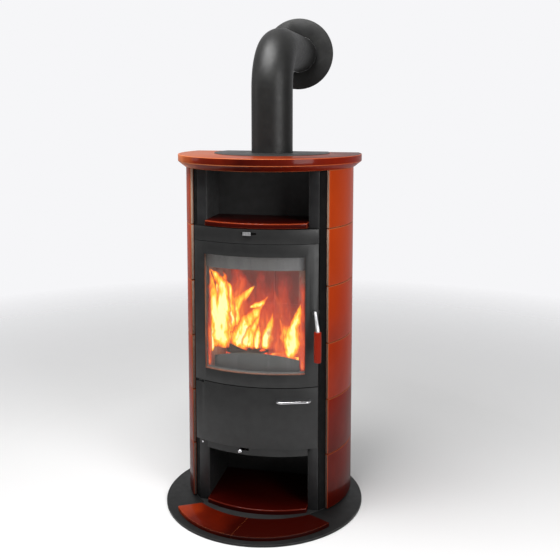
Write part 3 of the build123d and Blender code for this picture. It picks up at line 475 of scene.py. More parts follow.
def grow(piece, tree, **sizes):
    """Run a tree on a piece and return the plain mesh piece."""
    modifier = piece.modifiers.new(tree.name, "NODES")
    modifier.node_group = tree
    wanted = {key.replace("_", " "): value for key, value in sizes.items()}
    for item in tree.interface.items_tree:
        if item.in_out == "INPUT" and item.name in wanted:
            modifier[item.identifier] = wanted[item.name]
    return plain(piece)


# %% [markdown]
# ## The columns of tiles
# Each side of the stove has six equal tiles with open joints. One is finished as above: glaze on its face, clay at its
# two ends, thin glaze on its rounded edges and the darker glaze on the lower ones, painted shade under each tile where
# the joint is in shade. The tree stacks it by the pitch of the imported nodes, gives each copy its own tone, and
# mirrors the column to the other side.
# Mirroring turns faces inside out, so they are flipped back. Set Material makes every face forget which material it
# had, so the tree first stores that number under a name of its own.

# %% Tree for two columns of tiles
AT_END, AT_EDGE, AT_SHADED_UNDERSIDE = 1, 2, 3


def columns_tree():
    tree, given, out = new_tree("columns_of_tiles", Rows=6, Pitch=0.2, Seed=4, Glaze="Material", Clay="Material",
                                Edge_glaze="Material", Joint="Material")
    rise = add(tree, "ShaderNodeCombineXYZ", {"Z": given["Pitch"]})
    spots = add(tree, "MeshLine", {"Count": given["Rows"], "Offset": rise})
    tile = {"Geometry": given["Geometry"], "Name": "kind", "Value": add(tree, "InputMaterialIndex")}
    tile = add(tree, "StoreNamedAttribute", tile, data_type="INT", domain="FACE")
    column = add(tree, "InstanceOnPoints", {"Points": spots, "Instance": tile})
    sides = []
    for side in (0, 1):
        seed = calculate(tree, "ADD", given["Seed"], float(side))
        tone = add(tree, "FunctionNodeRandomValue", {"Seed": seed}, 1, data_type="FLOAT")
        marked = {"Geometry": column, "Name": "tone", "Value": tone}
        marked = add(tree, "StoreNamedAttribute", marked, data_type="FLOAT", domain="INSTANCE")
        sides.append(add(tree, "RealizeInstances", {"Geometry": marked}))
    other = add(tree, "Transform", {"Geometry": sides[1], "Scale": (-1, 1, 1)})
    other = add(tree, "FlipFaces", {"Mesh": other})
    kind = add(tree, "InputNamedAttribute", {"Name": "kind"}, data_type="INT")
    done = add(tree, "RealizeInstances", {"Geometry": join(tree, sides[0], other)})
    done = add(tree, "SetMaterial", {"Geometry": done, "Material": given["Glaze"]})
    for index, key in ((AT_END, "Clay"), (AT_EDGE, "Edge glaze"), (AT_SHADED_UNDERSIDE, "Joint")):
        same = add(tree, "FunctionNodeCompare", {2: kind, 3: index}, data_type="INT", operation="EQUAL")
        done = add(tree, "SetMaterial", {"Geometry": done, "Selection": same, "Material": given[key]})
    tree.links.new(done, out)
    return tree


# %% Make the columns
def tile_columns():
    both_sides = [n for n in frame["nodes"] if n.startswith("side_tile")]
    lowest = sorted((n for n in both_sides if n.endswith("right")), key=lambda n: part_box(n)[0][2])
    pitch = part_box(lowest[1])[0][2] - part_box(lowest[0])[0][2]
    tile = piece_from("side_tiles", merged_copy(lowest[0]), TILE_GLAZE, BARE_CLAY, THIN_GLAZE_AND_HIGHLIGHT)
    for face in tile.data.polygons:
        outward = Vector((face.center.x, face.center.y, 0)).normalized()
        upright, sideways = abs(face.normal.z) < 0.1, abs(face.normal.dot(outward)) < 0.3
        face.material_index = AT_END if upright and sideways else 0
    tile = round_edges(tile, TILE_EDGE, segments=3)
    # Rounded edges that face down take the darker glaze: painted shade under each tile.
    tile.data.materials.append(SHADED_GLAZE)
    for face in tile.data.polygons:
        if face.material_index == AT_EDGE and face.normal.z < -0.3:
            face.material_index = AT_SHADED_UNDERSIDE
    piece = grow(tile, columns_tree(), Rows=len(lowest), Pitch=pitch, Glaze=TILE_GLAZE, Clay=BARE_CLAY,
                 Edge_glaze=THIN_GLAZE_AND_HIGHLIGHT, Joint=SHADED_GLAZE)
    stands_for(smooth(piece), *both_sides)
    print("side tiles", len(both_sides), "pitch", round(pitch, 4), "faces", len(piece.data.polygons))


tile_columns()

# %% [markdown]
# ## The steel body
# Plates that show get rounded edges, lightly rubbed and a little lighter, a painted highlight. The doors and the band
# stand a finger apart, so their cut edges there are painted black, a painted shade chosen by the way they face, and
# the cut edge round the window turns brown.

# %% Round and paint the steel
SHEET_EDGE = 0.0008
POST_EDGE = 0.0018
WINDOW_HALF, WINDOW_LOW, WINDOW_HIGH = 0.176, 0.50, 0.92
for node in ("door_skin", "lower_door", "air_band"):
    piece = piece_from("finished_" + node, merged_copy(node), CASING, GAP_PAINTED_SHADE, TINTED, CASING_EDGE_WEAR_AND_SHEEN)
    # Cut edges that face the next plate take the near-black paint, painted shade; round the window they turn brown.
    for face in piece.data.polygons:
        if abs(face.normal.z) > 0.7 or abs(face.normal.x) > 0.8:
            at_window = abs(face.center.x) < WINDOW_HALF and WINDOW_LOW < face.center.z < WINDOW_HIGH
            face.material_index = 2 if at_window else 1
    stands_for(round_edges(piece, SHEET_EDGE), node)
for node in ("base_plate", "top_insert"):
    rounded(node, SHEET_EDGE, CASING, CASING_EDGE_WEAR_AND_SHEEN)
rounded("floor_plate", SHEET_EDGE, PLATE_PAINTED_SHADE, CASING_EDGE_WEAR_AND_SHEEN)
for node in ("front_post_left", "front_post_right"):
    rounded(node, POST_EDGE, POST, CASING_EDGE_WEAR_AND_SHEEN)
rounded("wall_rosette", SHEET_EDGE, FLUE, CASING_EDGE_WEAR_AND_SHEEN)
rounded("log_retainer", 0.001, ROLLED)
rounded("hinge_lugs", 0.0005, CASING)
rounded("latch_keeper", 0.0006, CASING)
rounded("ash_pan", 0.0004, BLACK)

# %% [markdown]
# ## The frame behind the glass
# Behind the window the fixed frame is bare steel, painted light in upright streaks, a painted reflection of the room
# in the glass; beyond it, it is painted black and stays in shade. One material chooses by place: it measures how far a
# point lies from the middle of the window, sideways and upwards, and adds the streaks to that.

# %% Frame material
FRAME_HALF, FRAME_MIDDLE, FRAME_REACH = 0.177, 0.712, 0.203


def fire_frame():
    material, tree = finish("fire_frame", Metallic=0.3, Roughness=0.5)
    wide = calculate(tree, "LESS_THAN", calculate(tree, "ABSOLUTE", along(tree, "X")), FRAME_HALF)
    above = calculate(tree, "ABSOLUTE", calculate(tree, "SUBTRACT", along(tree, "Z"), FRAME_MIDDLE))
    within = calculate(tree, "MULTIPLY", wide, calculate(tree, "LESS_THAN", above, FRAME_REACH))
    # Lighter within the window and streaked upright: a painted reflection of the room in the glass.
    painted_reflection_streaks = calculate(tree, "ADD", within, spread(tree, grain(tree, 200, 2, (0.4, 0.4, 0.02)), -0.2, 0.0))
    stops = [(0.0, (14,)), (0.4, (22,)), (0.8, (84,)), (1.0, (98,))]
    feed(tree, Base_Color=ramp(tree, painted_reflection_streaks, stops), Normal=bump(tree, grain(tree, 700), 0.0002))
    return material


FIRE_FRAME = fire_frame()
print("made", FIRE_FRAME.name)

# %% [markdown]
# ## Nodes that keep their CAD mesh
# What is plain, or deep inside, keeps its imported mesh. It only gets its finish, by a list of which nodes take which.

# %% Paint the nodes that stay
PAINTS = {
    CASING: ["back_panel", "store_apron", "store_liner"],
    # The tile carriers show only in the gaps beside the door: painted shade.
    GAP_PAINTED_SHADE: ["tile_carrier_left", "tile_carrier_right"],
    FIRE_FRAME: ["firebox_front"],
    FLUE: ["flue_pipe"],
    LINER_PAINTED_LIGHT: ["niche_liner"],
    BLACK: ["handle_spindle", "firebox_shell", "firebox_floor", "firebox_top", "ash_floor"],
    TINTED: ["glass_clamp_frame"],
    STEEL: ["hinge_pins"],
    FIREBRICK: ["brick_floor", "brick_back", "brick_side_left", "brick_side_right", "baffle_plate"],
    CAST_IRON: ["grate"],
    ROPE: ["glass_gasket"],
    GLASS: ["door_glass"],
}
for material, nodes in PAINTS.items():
    for node in nodes:
        mesh = frame["nodes"][node].data
        mesh.materials.clear()
        mesh.materials.append(material)
print("painted", sum(len(nodes) for nodes in PAINTS.values()))

# %% [markdown]
# ## The bar of the lower door
# The bar is a round rod bent back at both ends. Fillet Curve bends the two corners of a plain route, and Curve to
# Mesh gives it a round section. The ends reach into the door's curved face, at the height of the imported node.

# %% Tree for a bent rod, and the bar
def rod_tree():
    tree, given, out = new_tree("bent_rod", Radius=0.004, Bend=0.012, Material="Material")
    bends = {"Curve": given["Geometry"], "Count": 10, "Radius": given["Bend"], "Limit Radius": True}
    bent = add(tree, "FilletCurve", bends, mode="POLY")
    ring = add(tree, "CurvePrimitiveCircle", {"Resolution": 24, "Radius": given["Radius"]})
    rod = add(tree, "CurveToMesh", {"Curve": bent, "Profile Curve": ring, "Fill Caps": True})
    close_tree(tree, rod, given["Material"], out)
    return tree


def route(name, points, closed=False):
    """Object with one straight-sided curve through the points."""
    curve = bpy.data.curves.new(name, "CURVE")
    curve.dimensions = "3D"
    line = curve.splines.new("POLY")
    line.points.add(len(points) - 1)
    for spot, point in zip(line.points, points):
        spot.co = (*point, 1)
    line.use_cyclic_u = closed
    piece = bpy.data.objects.new(name, curve)
    SCENE.collection.objects.link(piece)
    return piece


FACE_CY, FACE_R = 0.1927, 0.4654    # axis and radius of the curved front


def on_face(x, z, proud=0.0):
    """Point on the curved front, or proud of it."""
    r = FACE_R + proud
    reach = x * r / FACE_R
    return Vector((reach, FACE_CY - math.sqrt(r * r - reach * reach), z))


BAR_FEET = 0.082, 0.188
BAR_SUNK, BAR_PROUD = -0.001, 0.028


def door_bar():
    low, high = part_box("lower_door_bar")
    z = (low[2] + high[2]) / 2
    feet = [on_face(x, z, BAR_SUNK) for x in BAR_FEET]
    way = (feet[1] - feet[0]).normalized()
    out = Vector((way.y, -way.x, 0)) * BAR_PROUD
    bar = route("bar", [feet[0], feet[0] + out, feet[1] + out, feet[1]])
    bar = grow(bar, rod_tree(), Radius=0.0042, Bend=0.014, Material=STEEL)
    return stands_for(smooth(bar, 40), "lower_door_bar")


print("bar faces", len(door_bar().data.polygons))

# %% [markdown]
# ## The handle of the firebox door
# The handle is a flat lever of satin steel, narrow at the hub and wider where it enters the glazed grip. Both are
# modelled in the handle's own frame, x along the door, y up and z out of it, and turned onto the curved door. The
# lever is a loft of rounded sections along a bent line, and the grip is turned as on a lathe.

# %% The handle's frame and a lathe
BOSS_X, BOSS_Z = 0.203, 0.72        # where the spindle comes out of the door
HUB_FOOT = 0.0075                   # the hub's underside, from the door's face


def at_handle(point):
    """Point of the handle's frame in the stove's frame."""
    out = Vector((BOSS_X / FACE_R, -math.sqrt(1 - (BOSS_X / FACE_R) ** 2), 0))
    across = Vector((-out.y, out.x, 0))
    return on_face(BOSS_X, BOSS_Z) + across * point[0] + Vector((0, 0, 1)) * point[1] + out * point[2]


def turns(sides):
    """Angle, cosine and sine of even steps round a circle."""
    steps = [2 * math.pi * i / sides for i in range(sides)]
    return [(t, math.cos(t), math.sin(t)) for t in steps]


def body(rings):
    """Closed body over rings of points, as many in each."""
    shape = bmesh.new()
    loops = [[shape.verts.new(point) for point in ring] for ring in rings]
    for low, high in zip(loops, loops[1:]):
        for i in range(len(low)):
            j = (i + 1) % len(low)
            shape.faces.new((low[i], low[j], high[j], high[i]))
    shape.faces.new(reversed(loops[0]))
    shape.faces.new(loops[-1])
    bmesh.ops.recalc_face_normals(shape, faces=shape.faces)
    return shape


def lathe(profile, sides, to_place):
    """Turned body: profile holds (radius, height), and to_place puts a point of its own frame."""
    return body([[to_place((r * c, r * s, height)) for t, c, s in turns(sides)] for r, height in profile])


# %% Grip
GRIP_OFF, GRIP_TOP, GRIP_END = 0.040, 0.0532, 0.156
GRIP_RADIUS, GRIP_ROUND, GRIP_SWELL = 0.0118, 0.0018, 0.0006


def grip():
    length = GRIP_END - GRIP_TOP
    bends = [math.radians(90 * i / 5) for i in range(6)]
    end = [(GRIP_RADIUS - GRIP_ROUND * (1 - math.sin(t)), GRIP_ROUND * (1 - math.cos(t))) for t in bends]
    middle = [(GRIP_RADIUS + GRIP_SWELL * math.sin(math.pi * i / 8), GRIP_ROUND + (length - 2 * GRIP_ROUND) * i / 8)
              for i in range(1, 8)]
    profile = end + middle + [(r, length - h) for r, h in reversed(end)]
    shape = lathe(profile, 32, lambda p: at_handle((p[0], -GRIP_END + p[2], GRIP_OFF + p[1])))
    return stands_for(smooth(piece_from("glazed_grip", shape, FIRED_GRIP), 50), "handle_grip")


print("grip", len(grip().data.polygons))

# %% Lever
# Each station is the height, the distance from the door, half the width and half the thickness.
LEVER = [(0.0088, 0.0100, 0.0030, 0.0014), (0.0070, 0.0104, 0.0042, 0.0020), (0.0010, 0.0122, 0.0048, 0.0022),
         (-0.012, 0.0198, 0.0052, 0.0022), (-0.026, 0.0288, 0.0056, 0.0023), (-0.038, 0.0362, 0.0060, 0.0025),
         (-0.046, 0.0393, 0.0062, 0.0029), (-0.0536, 0.0400, 0.0064, 0.0034)]
CORNER = 0.6                        # below 1, a round section gets squarer


def squared(value):
    return math.copysign(abs(value) ** CORNER, value)


def lever():
    rings = []
    for i, (up, out, wide, thick) in enumerate(LEVER):
        before, after = LEVER[max(i - 1, 0)], LEVER[min(i + 1, len(LEVER) - 1)]
        way = Vector((0, after[0] - before[0], after[1] - before[1])).normalized()
        across = Vector((0, -way.z, way.y))
        rings.append([at_handle(Vector((squared(c) * wide, up, out)) + across * (squared(s) * thick))
                      for t, c, s in turns(20)])
    shape = body(rings)
    hub = lathe([(0.0050, 0.0), (0.0050, 0.0045), (0.0042, 0.0058), (0.0016, 0.0064)], 28,
                lambda p: at_handle((p[0], p[1], HUB_FOOT + p[2])))
    add_to(shape, hub)
    return stands_for(smooth(piece_from("steel_lever", shape, SATIN), 45), "handle_lever")


print("lever", len(lever().data.polygons))

# %% [markdown]
# ## The air controls
# The knob of the primary air is a polished ball on a rod. The CAD node has a turned cylinder there; the finished piece
# keeps the node's plate, and a ball on a new rod takes the cylinder's place. The slider over the door is a satin tab
# in front of a strip painted near black, a painted shade in its slot, one part whose faces get their finish by how far
# they stand out.

# %% Knob on its rod
KNOB_X, KNOB_Z, KNOB_RADIUS = -0.046, 0.234, 0.0078
ROD_RADIUS, ROD_START, ROD_END = 0.003, 0.004, 0.0652


def knob_and_rod():
    radius = KNOB_RADIUS
    middle = Vector((KNOB_X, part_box("primary_air_slide")[0][1] + radius, KNOB_Z))
    shape = merged_copy("primary_air_slide")
    old = [v for v in shape.verts if v.co.y < middle.y + 1.2 * radius]
    bmesh.ops.delete(shape, geom=old, context="VERTS")
    bmesh.ops.holes_fill(shape, edges=[e for e in shape.edges if e.is_boundary])
    arc = [math.radians(6 + 168 * i / 16) for i in range(17)]
    profile = [(radius * math.sin(t), -radius * math.cos(t)) for t in arc]
    rod = [(ROD_RADIUS, ROD_START), (ROD_RADIUS, ROD_END)]
    for outline, sides in ((profile, 32), (rod, 24)):
        add_to(shape, lathe(outline, sides, lambda p: middle + Vector((p[0], p[2], p[1]))))
    return stands_for(smooth(piece_from("air_knob", shape, STEEL), 40), "primary_air_slide")


print("knob", len(knob_and_rod().data.polygons))

# %% Slider
PROUD = 0.0003                      # what stands further out of the front is the tab


def slider():
    piece = piece_from("air_tab", merged_copy("air_slider"), GAP_PAINTED_SHADE, SATIN)
    # Faces set back take the near-black paint: painted shade in the slot.
    for face in piece.data.polygons:
        face.material_index = int(math.hypot(face.center.x, face.center.y - FACE_CY) > FACE_R + PROUD)
    return stands_for(round_edges(piece, 0.0005, own_material=False), "air_slider")


print("slider", len(slider().data.polygons))

# %% [markdown]
# ## The rope of the door
# A firebox door seals with a laid rope of glass fibre. The tree fillets the corners of a closed route, divides it
# evenly, and winds three strands round it: each point moves along the route's normal and binormal by a circle that
# advances with the length. The route lies on the door's curve, so its two level runs need points along the arc.

# %% Tree for a laid rope
def rope_tree():
    tree, given, out = new_tree("laid_rope", Strand=0.002, Lay=0.0019, Pitch=0.018, Corner=0.012, Material="Material")
    bends = {"Curve": given["Geometry"], "Count": 8, "Radius": given["Corner"], "Limit Radius": True}
    path = add(tree, "FilletCurve", bends, mode="POLY")
    path = add(tree, "ResampleCurve", {"Curve": path, "Length": 0.0025}, mode="LENGTH")
    turn = calculate(tree, "DIVIDE", add(tree, "SplineParameter", out="Length"), given["Pitch"])
    turn = calculate(tree, "MULTIPLY", turn, 2 * math.pi)
    normal = add(tree, "InputNormal", out="Normal")
    sideways = {0: add(tree, "InputTangent"), 1: normal}
    cross = add(tree, "ShaderNodeVectorMath", sideways, operation="CROSS_PRODUCT")
    strands = []
    for strand in range(3):
        angle = calculate(tree, "ADD", turn, 2 * math.pi * strand / 3)
        reach = []
        for way, axis in (("COSINE", normal), ("SINE", cross)):
            part = calculate(tree, "MULTIPLY", calculate(tree, way, angle), given["Lay"])
            reach.append(add(tree, "ShaderNodeVectorMath", {0: axis, "Scale": part}, operation="SCALE"))
        offset = add(tree, "ShaderNodeVectorMath", {0: reach[0], 1: reach[1]})
        strands.append(add(tree, "SetPosition", {"Geometry": path, "Offset": offset}))
    ring = add(tree, "CurvePrimitiveCircle", {"Resolution": 8, "Radius": given["Strand"]})
    rope = add(tree, "CurveToMesh", {"Curve": join(tree, *strands), "Profile Curve": ring})
    close_tree(tree, rope, given["Material"], out)
    return tree


# %% Lay the rope
ROPE_INSET, ROPE_HALF, ROPE_DEPTH, ARC_STEPS = 0.0042, 0.004, -0.0211, 16


def door_rope():
    low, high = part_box("door_seal")
    half = high[0] - ROPE_INSET
    z0, z1 = low[2] + ROPE_HALF, high[2] - ROPE_HALF
    xs = [half * (2 * i / ARC_STEPS - 1) * FACE_R / (FACE_R + ROPE_DEPTH) for i in range(ARC_STEPS + 1)]
    level = [(x, z0) for x in xs] + [(x, z1) for x in reversed(xs)]
    points = [on_face(x, z, ROPE_DEPTH) for x, z in level]
    rope = grow(route("door_rope", points, closed=True), rope_tree(), Material=ROPE)
    return stands_for(rope, "door_seal")


print("rope faces", len(door_rope().data.polygons))

# %% [markdown]
# ## Screws of the back
# The back panel is held by small screws along its upright edges. One screw is turned, with a hexagon socket, and the
# tree puts a copy on each point, turned by chance about its own axis with a fixed seed.

# %% Screw and its tree
# Each ring of the screw is its radius, its height, and 1 where it is the hexagon socket.
SCREW = [(0.0001, -0.0005, 0), (0.0048, -0.0005, 0), (0.0048, 0.0012, 0), (0.0040, 0.0024, 0),
         (0.0024, 0.0028, 1), (0.0022, 0.0010, 1)]


def screw_mesh():
    """Dome head that faces +Z."""
    rings = []
    for radius, height, hexagon in SCREW:
        ring = []
        for t, c, s in turns(12):
            r = radius
            if hexagon:
                r = r * math.cos(math.pi / 6) / math.cos(t % (math.pi / 3) - math.pi / 6)
            ring.append((r * c, r * s, height))
        rings.append(ring)
    return piece_from("screw_master", body(rings))


def screws_tree():
    tree, given, out = new_tree("screws_on_points", Screw="Object", Seed=7, Material="Material")
    screw = add(tree, "ObjectInfo", {"Object": given["Screw"]}, "Geometry")
    spin = add(tree, "ShaderNodeCombineXYZ", {"X": -math.pi / 2})
    placed = add(tree, "InstanceOnPoints", {"Points": given["Geometry"], "Instance": screw, "Rotation": spin})
    twist = add(tree, "FunctionNodeRandomValue", {3: 2 * math.pi, "Seed": given["Seed"]}, 1, data_type="FLOAT")
    own = add(tree, "ShaderNodeCombineXYZ", {"Z": twist})
    turned = add(tree, "RotateInstances", {"Instances": placed, "Rotation": own})
    close_tree(tree, turned, given["Material"], out)
    return tree


# %% Put the screws on the back
SCREW_ROWS, SCREW_X, SCREW_MARGIN = 7, 0.248, 0.03


def back_screws():
    low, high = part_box("back_panel")
    spots = bmesh.new()
    for i in range(SCREW_ROWS):
        z = low[2] + SCREW_MARGIN + (high[2] - low[2] - 2 * SCREW_MARGIN) * i / (SCREW_ROWS - 1)
        for x in (-SCREW_X, SCREW_X):
            spots.verts.new((x, high[1], z))
    master = screw_mesh()
    screws = grow(piece_from("back_screws", spots), screws_tree(), Screw=master, Material=STEEL)
    bpy.data.objects.remove(master)
    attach(smooth(screws, 40), "stove")
    print("screws", 2 * SCREW_ROWS, "faces", len(screws.data.polygons))


back_screws()

# %% [markdown]
# ## Logs and embers
# The fire burns on a bed of embers over the grate, with charred logs in it. A log is a lofted round with ridges pushed
# in by noise, and its material splits into char and glowing cracks. The bed is a lumpy mound whose hollows glow.

# %% Glowing materials
def glowing(name, scale, stretch, char, levels, strength):
    """Charred surface whose cracks glow where the noise runs low."""
    material, tree = finish(name, Roughness=0.9, Emission_Strength=strength)
    heat = list(zip(levels, ((255, 190, 70), (235, 70, 8), (0,))))
    feed(tree, Base_Color=ramp(tree, grain(tree, 90, 4), [(0.3, char), (0.75, (70, 64, 60))]),
         Emission_Color=ramp(tree, grain(tree, scale, 4, stretch, 0.6), heat),
         Normal=bump(tree, grain(tree, 140, 5, stretch), 0.004))
    return material


CHAR = glowing("charred_log", 34, (0.35, 1, 1), (14, 12, 11), (0.30, 0.36, 0.42), 2.5)
EMBERS = glowing("embers", 46, (1, 1, 1), (26, 20, 18), (0.44, 0.55, 0.66), 2.4)
print("made", CHAR.name, EMBERS.name)

# %% Logs
def in_the_fire(piece):
    """Smooth, and part of the body that stands still."""
    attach(smooth(piece, 60), "stove")


def log_shape(start, end, radius, seed):
    """Tapered round with ridged bark between two points."""
    start, end = Vector(start), Vector(end)
    way = (end - start).normalized()
    side = way.cross(Vector((0, 0, 1))).normalized()
    up = side.cross(way)
    rings = []
    for i in range(27):
        f = i / 26
        end_round = min(1, 0.75 + 6 * min(f, 1 - f))
        middle = start.lerp(end, f) + up * 0.004 * math.sin(5 * f + seed)
        ring = []
        for t, c, s in turns(36):
            ridge = 0.16 * noise.noise((6 * c + seed, 6 * s, 4 * f))
            lump = 0.14 * noise.noise((1.6 * c, 1.6 * s + seed, 7 * f))
            ring.append(middle + (side * c + up * s) * (radius * end_round * (1 + ridge + lump)))
        rings.append(ring)
    return body(rings)


LOGS = [((-0.130, -0.110, 0.530), (0.092, -0.122, 0.532), 0.029, 1.0),
        ((-0.110, -0.010, 0.532), (0.120, -0.030, 0.534), 0.033, 4.0),
        ((-0.085, -0.095, 0.578), (0.060, 0.005, 0.590), 0.026, 7.0)]
for i, (start, end, radius, seed) in enumerate(LOGS):
    in_the_fire(piece_from("log_%d" % (i + 1), log_shape(start, end, radius, seed), CHAR))
print("logs", len(LOGS))

# %% Ember bed
BED_WIDE, BED_DEEP, BED_HIGH, BED_MIDDLE = 0.128, 0.078, 0.026, -0.055


def ember_bed():
    shape = bmesh.new()
    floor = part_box("grate")[1][2] + 0.0005
    columns, rows = 64, 40
    grid = []
    for j in range(rows + 1):
        line = []
        for i in range(columns + 1):
            u, v = 2 * i / columns - 1, 2 * j / rows - 1
            edge = max(0.0, 1 - max(abs(u), abs(v)) ** 4)
            lumps = 0.5 + 0.5 * noise.noise((u * 7, v * 5, 3)) + 0.5 * noise.noise((u * 16, v * 11, 8))
            z = floor + edge * BED_HIGH * (0.35 + 0.65 * max(lumps, 0))
            line.append(shape.verts.new((u * BED_WIDE, BED_MIDDLE + v * BED_DEEP, z)))
        grid.append(line)
    for low, up in zip(grid, grid[1:]):
        for i in range(columns):
            shape.faces.new((low[i], low[i + 1], up[i + 1], up[i]))
    bmesh.ops.holes_fill(shape, edges=[e for e in shape.edges if e.is_boundary])
    bmesh.ops.recalc_face_normals(shape, faces=shape.faces)
    in_the_fire(piece_from("ember_bed", shape, EMBERS))
    print("embers on z", round(floor, 4))


ember_bed()

# %% [markdown]
# ## Flames
# A flame is gas, but a mesh has to carry it. Each tongue is a flat closed body along a bent line, wide at its foot and
# drawn out to a tip. Every vertex stores its warmth: most on the middle line and low down. The material adds noise
# stretched upwards, and takes the colour and the see-through part from the sum, so a tongue frays into licks. It is
# plain emission, and lights the bricks around it. Behind the bright tongues stand wide dim ones, redder and flatter:
# partly the glow of the burning gas and partly painted light, glowing sheets that stand in for the firelight on the
# bricks and the jambs.

# %% Flame material
def flame_material(name, strength, colours, opacity):
    """Emission and opacity by warmth plus upright noise; opacity is (value at its start, at its end, most)."""
    material, tree = finish(name)
    tree.nodes.remove(tree.nodes["Principled BSDF"])
    licks = calculate(tree, "ADD", spread(tree, grain(tree, 26, 3, (1, 1, 0.3), 1.0), -0.34, 0.3),
                      spread(tree, grain(tree, 80, 3, (1, 1, 0.3), 1.2), -0.2, 0.16))
    value = calculate(tree, "ADD", add(tree, "Attribute", out="Fac", attribute_name="warmth"), licks)
    stops = [(0.08 + 0.2 * i, colour) for i, colour in enumerate(colours)]
    glow = add(tree, "Emission", {"Color": ramp(tree, value, stops), "Strength": strength})
    start, end, most = opacity
    show_mix(tree, spread(tree, value, 0.0, most, start, end), add(tree, "BsdfTransparent"), glow)
    return material


HOT = [(222, 62, 14), (240, 104, 20), (251, 158, 30), (255, 212, 62), (255, 248, 168)]
DIM = [(150, 40, 26), (190, 52, 26), (218, 66, 26), (236, 88, 30), (244, 112, 36)]
FLAME = flame_material("flame", 1.3, HOT, (0.0, 0.4, 1.0))
HAZE_AND_PAINTED_LIGHT = flame_material("flame_haze", 1.0, DIM, (0.0, 0.8, 0.8))
print("made", FLAME.name, HAZE_AND_PAINTED_LIGHT.name)

# %% Flame bodies
def between(a, b, c, d, t):
    """Catmull-Rom curve through b and c."""
    return 0.5 * (2 * b + (c - a) * t + (2 * a - 5 * b + 4 * c - d) * t * t + (3 * b - a - 3 * c + d) * t ** 3)


def tongue(name, y, stations, material, depth=0.2, fade=0.62):
    """Closed body through stations of (x, z, half width) from foot to tip."""
    steps, last = 40, len(stations) - 1
    spots = []
    for i in range(steps + 1):
        f = i / steps * last
        k = min(int(f), last - 1)
        near = [stations[min(max(j, 0), last)] for j in (k - 1, k, k + 1, k + 2)]
        spots.append([between(*values, f - k) for values in zip(*near)])
    rings, warm = [], []
    for i, (x, z, wide) in enumerate(spots):
        before, after = spots[max(i - 1, 0)], spots[min(i + 1, steps)]
        way = Vector((after[0] - before[0], 0, after[1] - before[1])).normalized()
        f, wide = i / steps, max(wide, 0.0005)
        ring = []
        for t, c, s in turns(16):
            reach = wide * (c + 0.22 * noise.noise((x * 40, z * 45, round(c))))
            ring.append((x + way.z * reach, y - wide * depth * s, z - way.x * reach))
            warm.append((1.1 - 1.1 * abs(c) ** 2) * (1 - fade * f ** 1.3) * min(1, 0.25 + 7 * f))
        rings.append(ring)
    piece = piece_from(name, body(rings), material)
    values = piece.data.attributes.new("warmth", "FLOAT", "POINT")
    values.data.foreach_set("value", warm)
    in_the_fire(piece)


# %% Light the fire
# Each tongue is how far back it stands, then from foot to tip its place across, height and half width, in millimetres.
FLAMES = {
    "outer_left": (-206, [(-162, 563, 6), (-157, 600, 12), (-150, 664, 19), (-150, 724, 19), (-154, 777, 15),
        (-160, 815, 10), (-167, 854, 1)]),
    "left": (-203, [(-133, 578, 32), (-129, 623, 40), (-128, 672, 40), (-124, 722, 36), (-117, 765, 28),
        (-120, 800, 22), (-141, 827, 15), (-163, 850, 1)]),
    "left_top": (-195, [(-142, 740, 22), (-138, 776, 24), (-126, 805, 20), (-115, 826, 11), (-122, 842, 1)]),
    "left_arm": (-185, [(-105, 633, 27), (-97, 684, 24), (-101, 730, 21), (-100, 768, 18), (-111, 796, 12),
        (-121, 822, 1)]),
    "red_arm": (-150, [(-104, 642, 28), (-96, 696, 28), (-78, 733, 22), (-52, 757, 15), (-20, 786, 1)]),
    "middle": (-170, [(-77, 573, 36), (-62, 610, 46), (-44, 647, 40), (-26, 680, 27), (-4, 704, 12), (13, 727, 1)]),
    "middle_low": (-178, [(-42, 576, 28), (-31, 607, 28), (-21, 640, 20), (-6, 669, 10), (5, 693, 1)]),
    "curl": (-160, [(-36, 712, 3), (-14, 719, 13), (7, 727, 12), (28, 753, 1)]),
    "small": (-182, [(-5, 572, 10), (-5, 603, 16), (-2, 628, 13), (2, 656, 1)]),
    "second": (-170, [(24, 570, 18), (27, 605, 24), (36, 638, 19), (45, 670, 11), (48, 704, 1)]),
    "right_low": (-206, [(116, 548, 11), (118, 583, 23), (111, 614, 30), (100, 646, 26), (89, 668, 12),
        (80, 688, 1)]),
    "right_tall": (-212, [(117, 552, 13), (120, 596, 29), (124, 632, 33), (130, 660, 20), (141, 690, 18),
        (148, 716, 12), (153, 744, 1)]),
}
# Dim sheets: partly the glow of the fire, partly painted light; the two jamb sheets are painted firelight on the brick
# ends.
HAZES_AND_PAINTED_LIGHT = {
    "upper_left": (-120, [(-105, 600, 38), (-94, 680, 50), (-88, 739, 52), (-88, 790, 44), (-100, 840, 30),
        (-108, 866, 10)]),
    "red_curl": (-140, [(-91, 730, 20), (-77, 766, 20), (-66, 799, 17), (-76, 827, 11), (-91, 846, 2)]),
    "glow": (-50, [(20, 500, 90), (20, 560, 125), (15, 630, 128), (10, 700, 125), (0, 760, 110), (0, 820, 80)]),
    "glow_right": (-202, [(85, 520, 50), (92, 580, 66), (98, 640, 62), (102, 700, 52), (104, 760, 34)]),
    "glow_middle": (-120, [(0, 540, 60), (8, 610, 74), (12, 670, 66), (10, 730, 48), (0, 790, 20)]),
    "jamb_left": (-214, [(-166, 512, 6), (-165, 560, 8), (-165, 680, 9), (-166, 780, 8), (-168, 860, 6)]),
    "jamb_right": (-208, [(160, 512, 9), (158, 560, 13), (157, 680, 13), (158, 780, 12), (160, 850, 10)]),
}
for prefix, table, *form in (("flame_", FLAMES, FLAME), ("haze_", HAZES_AND_PAINTED_LIGHT, HAZE_AND_PAINTED_LIGHT, 0.12, 1.0)):
    for name, (y, stations) in table.items():
        tongue(prefix + name, y / 1000, [[v / 1000 for v in station] for station in stations], *form)
print("flames", len(FLAMES), "hazes", len(HAZES_AND_PAINTED_LIGHT))

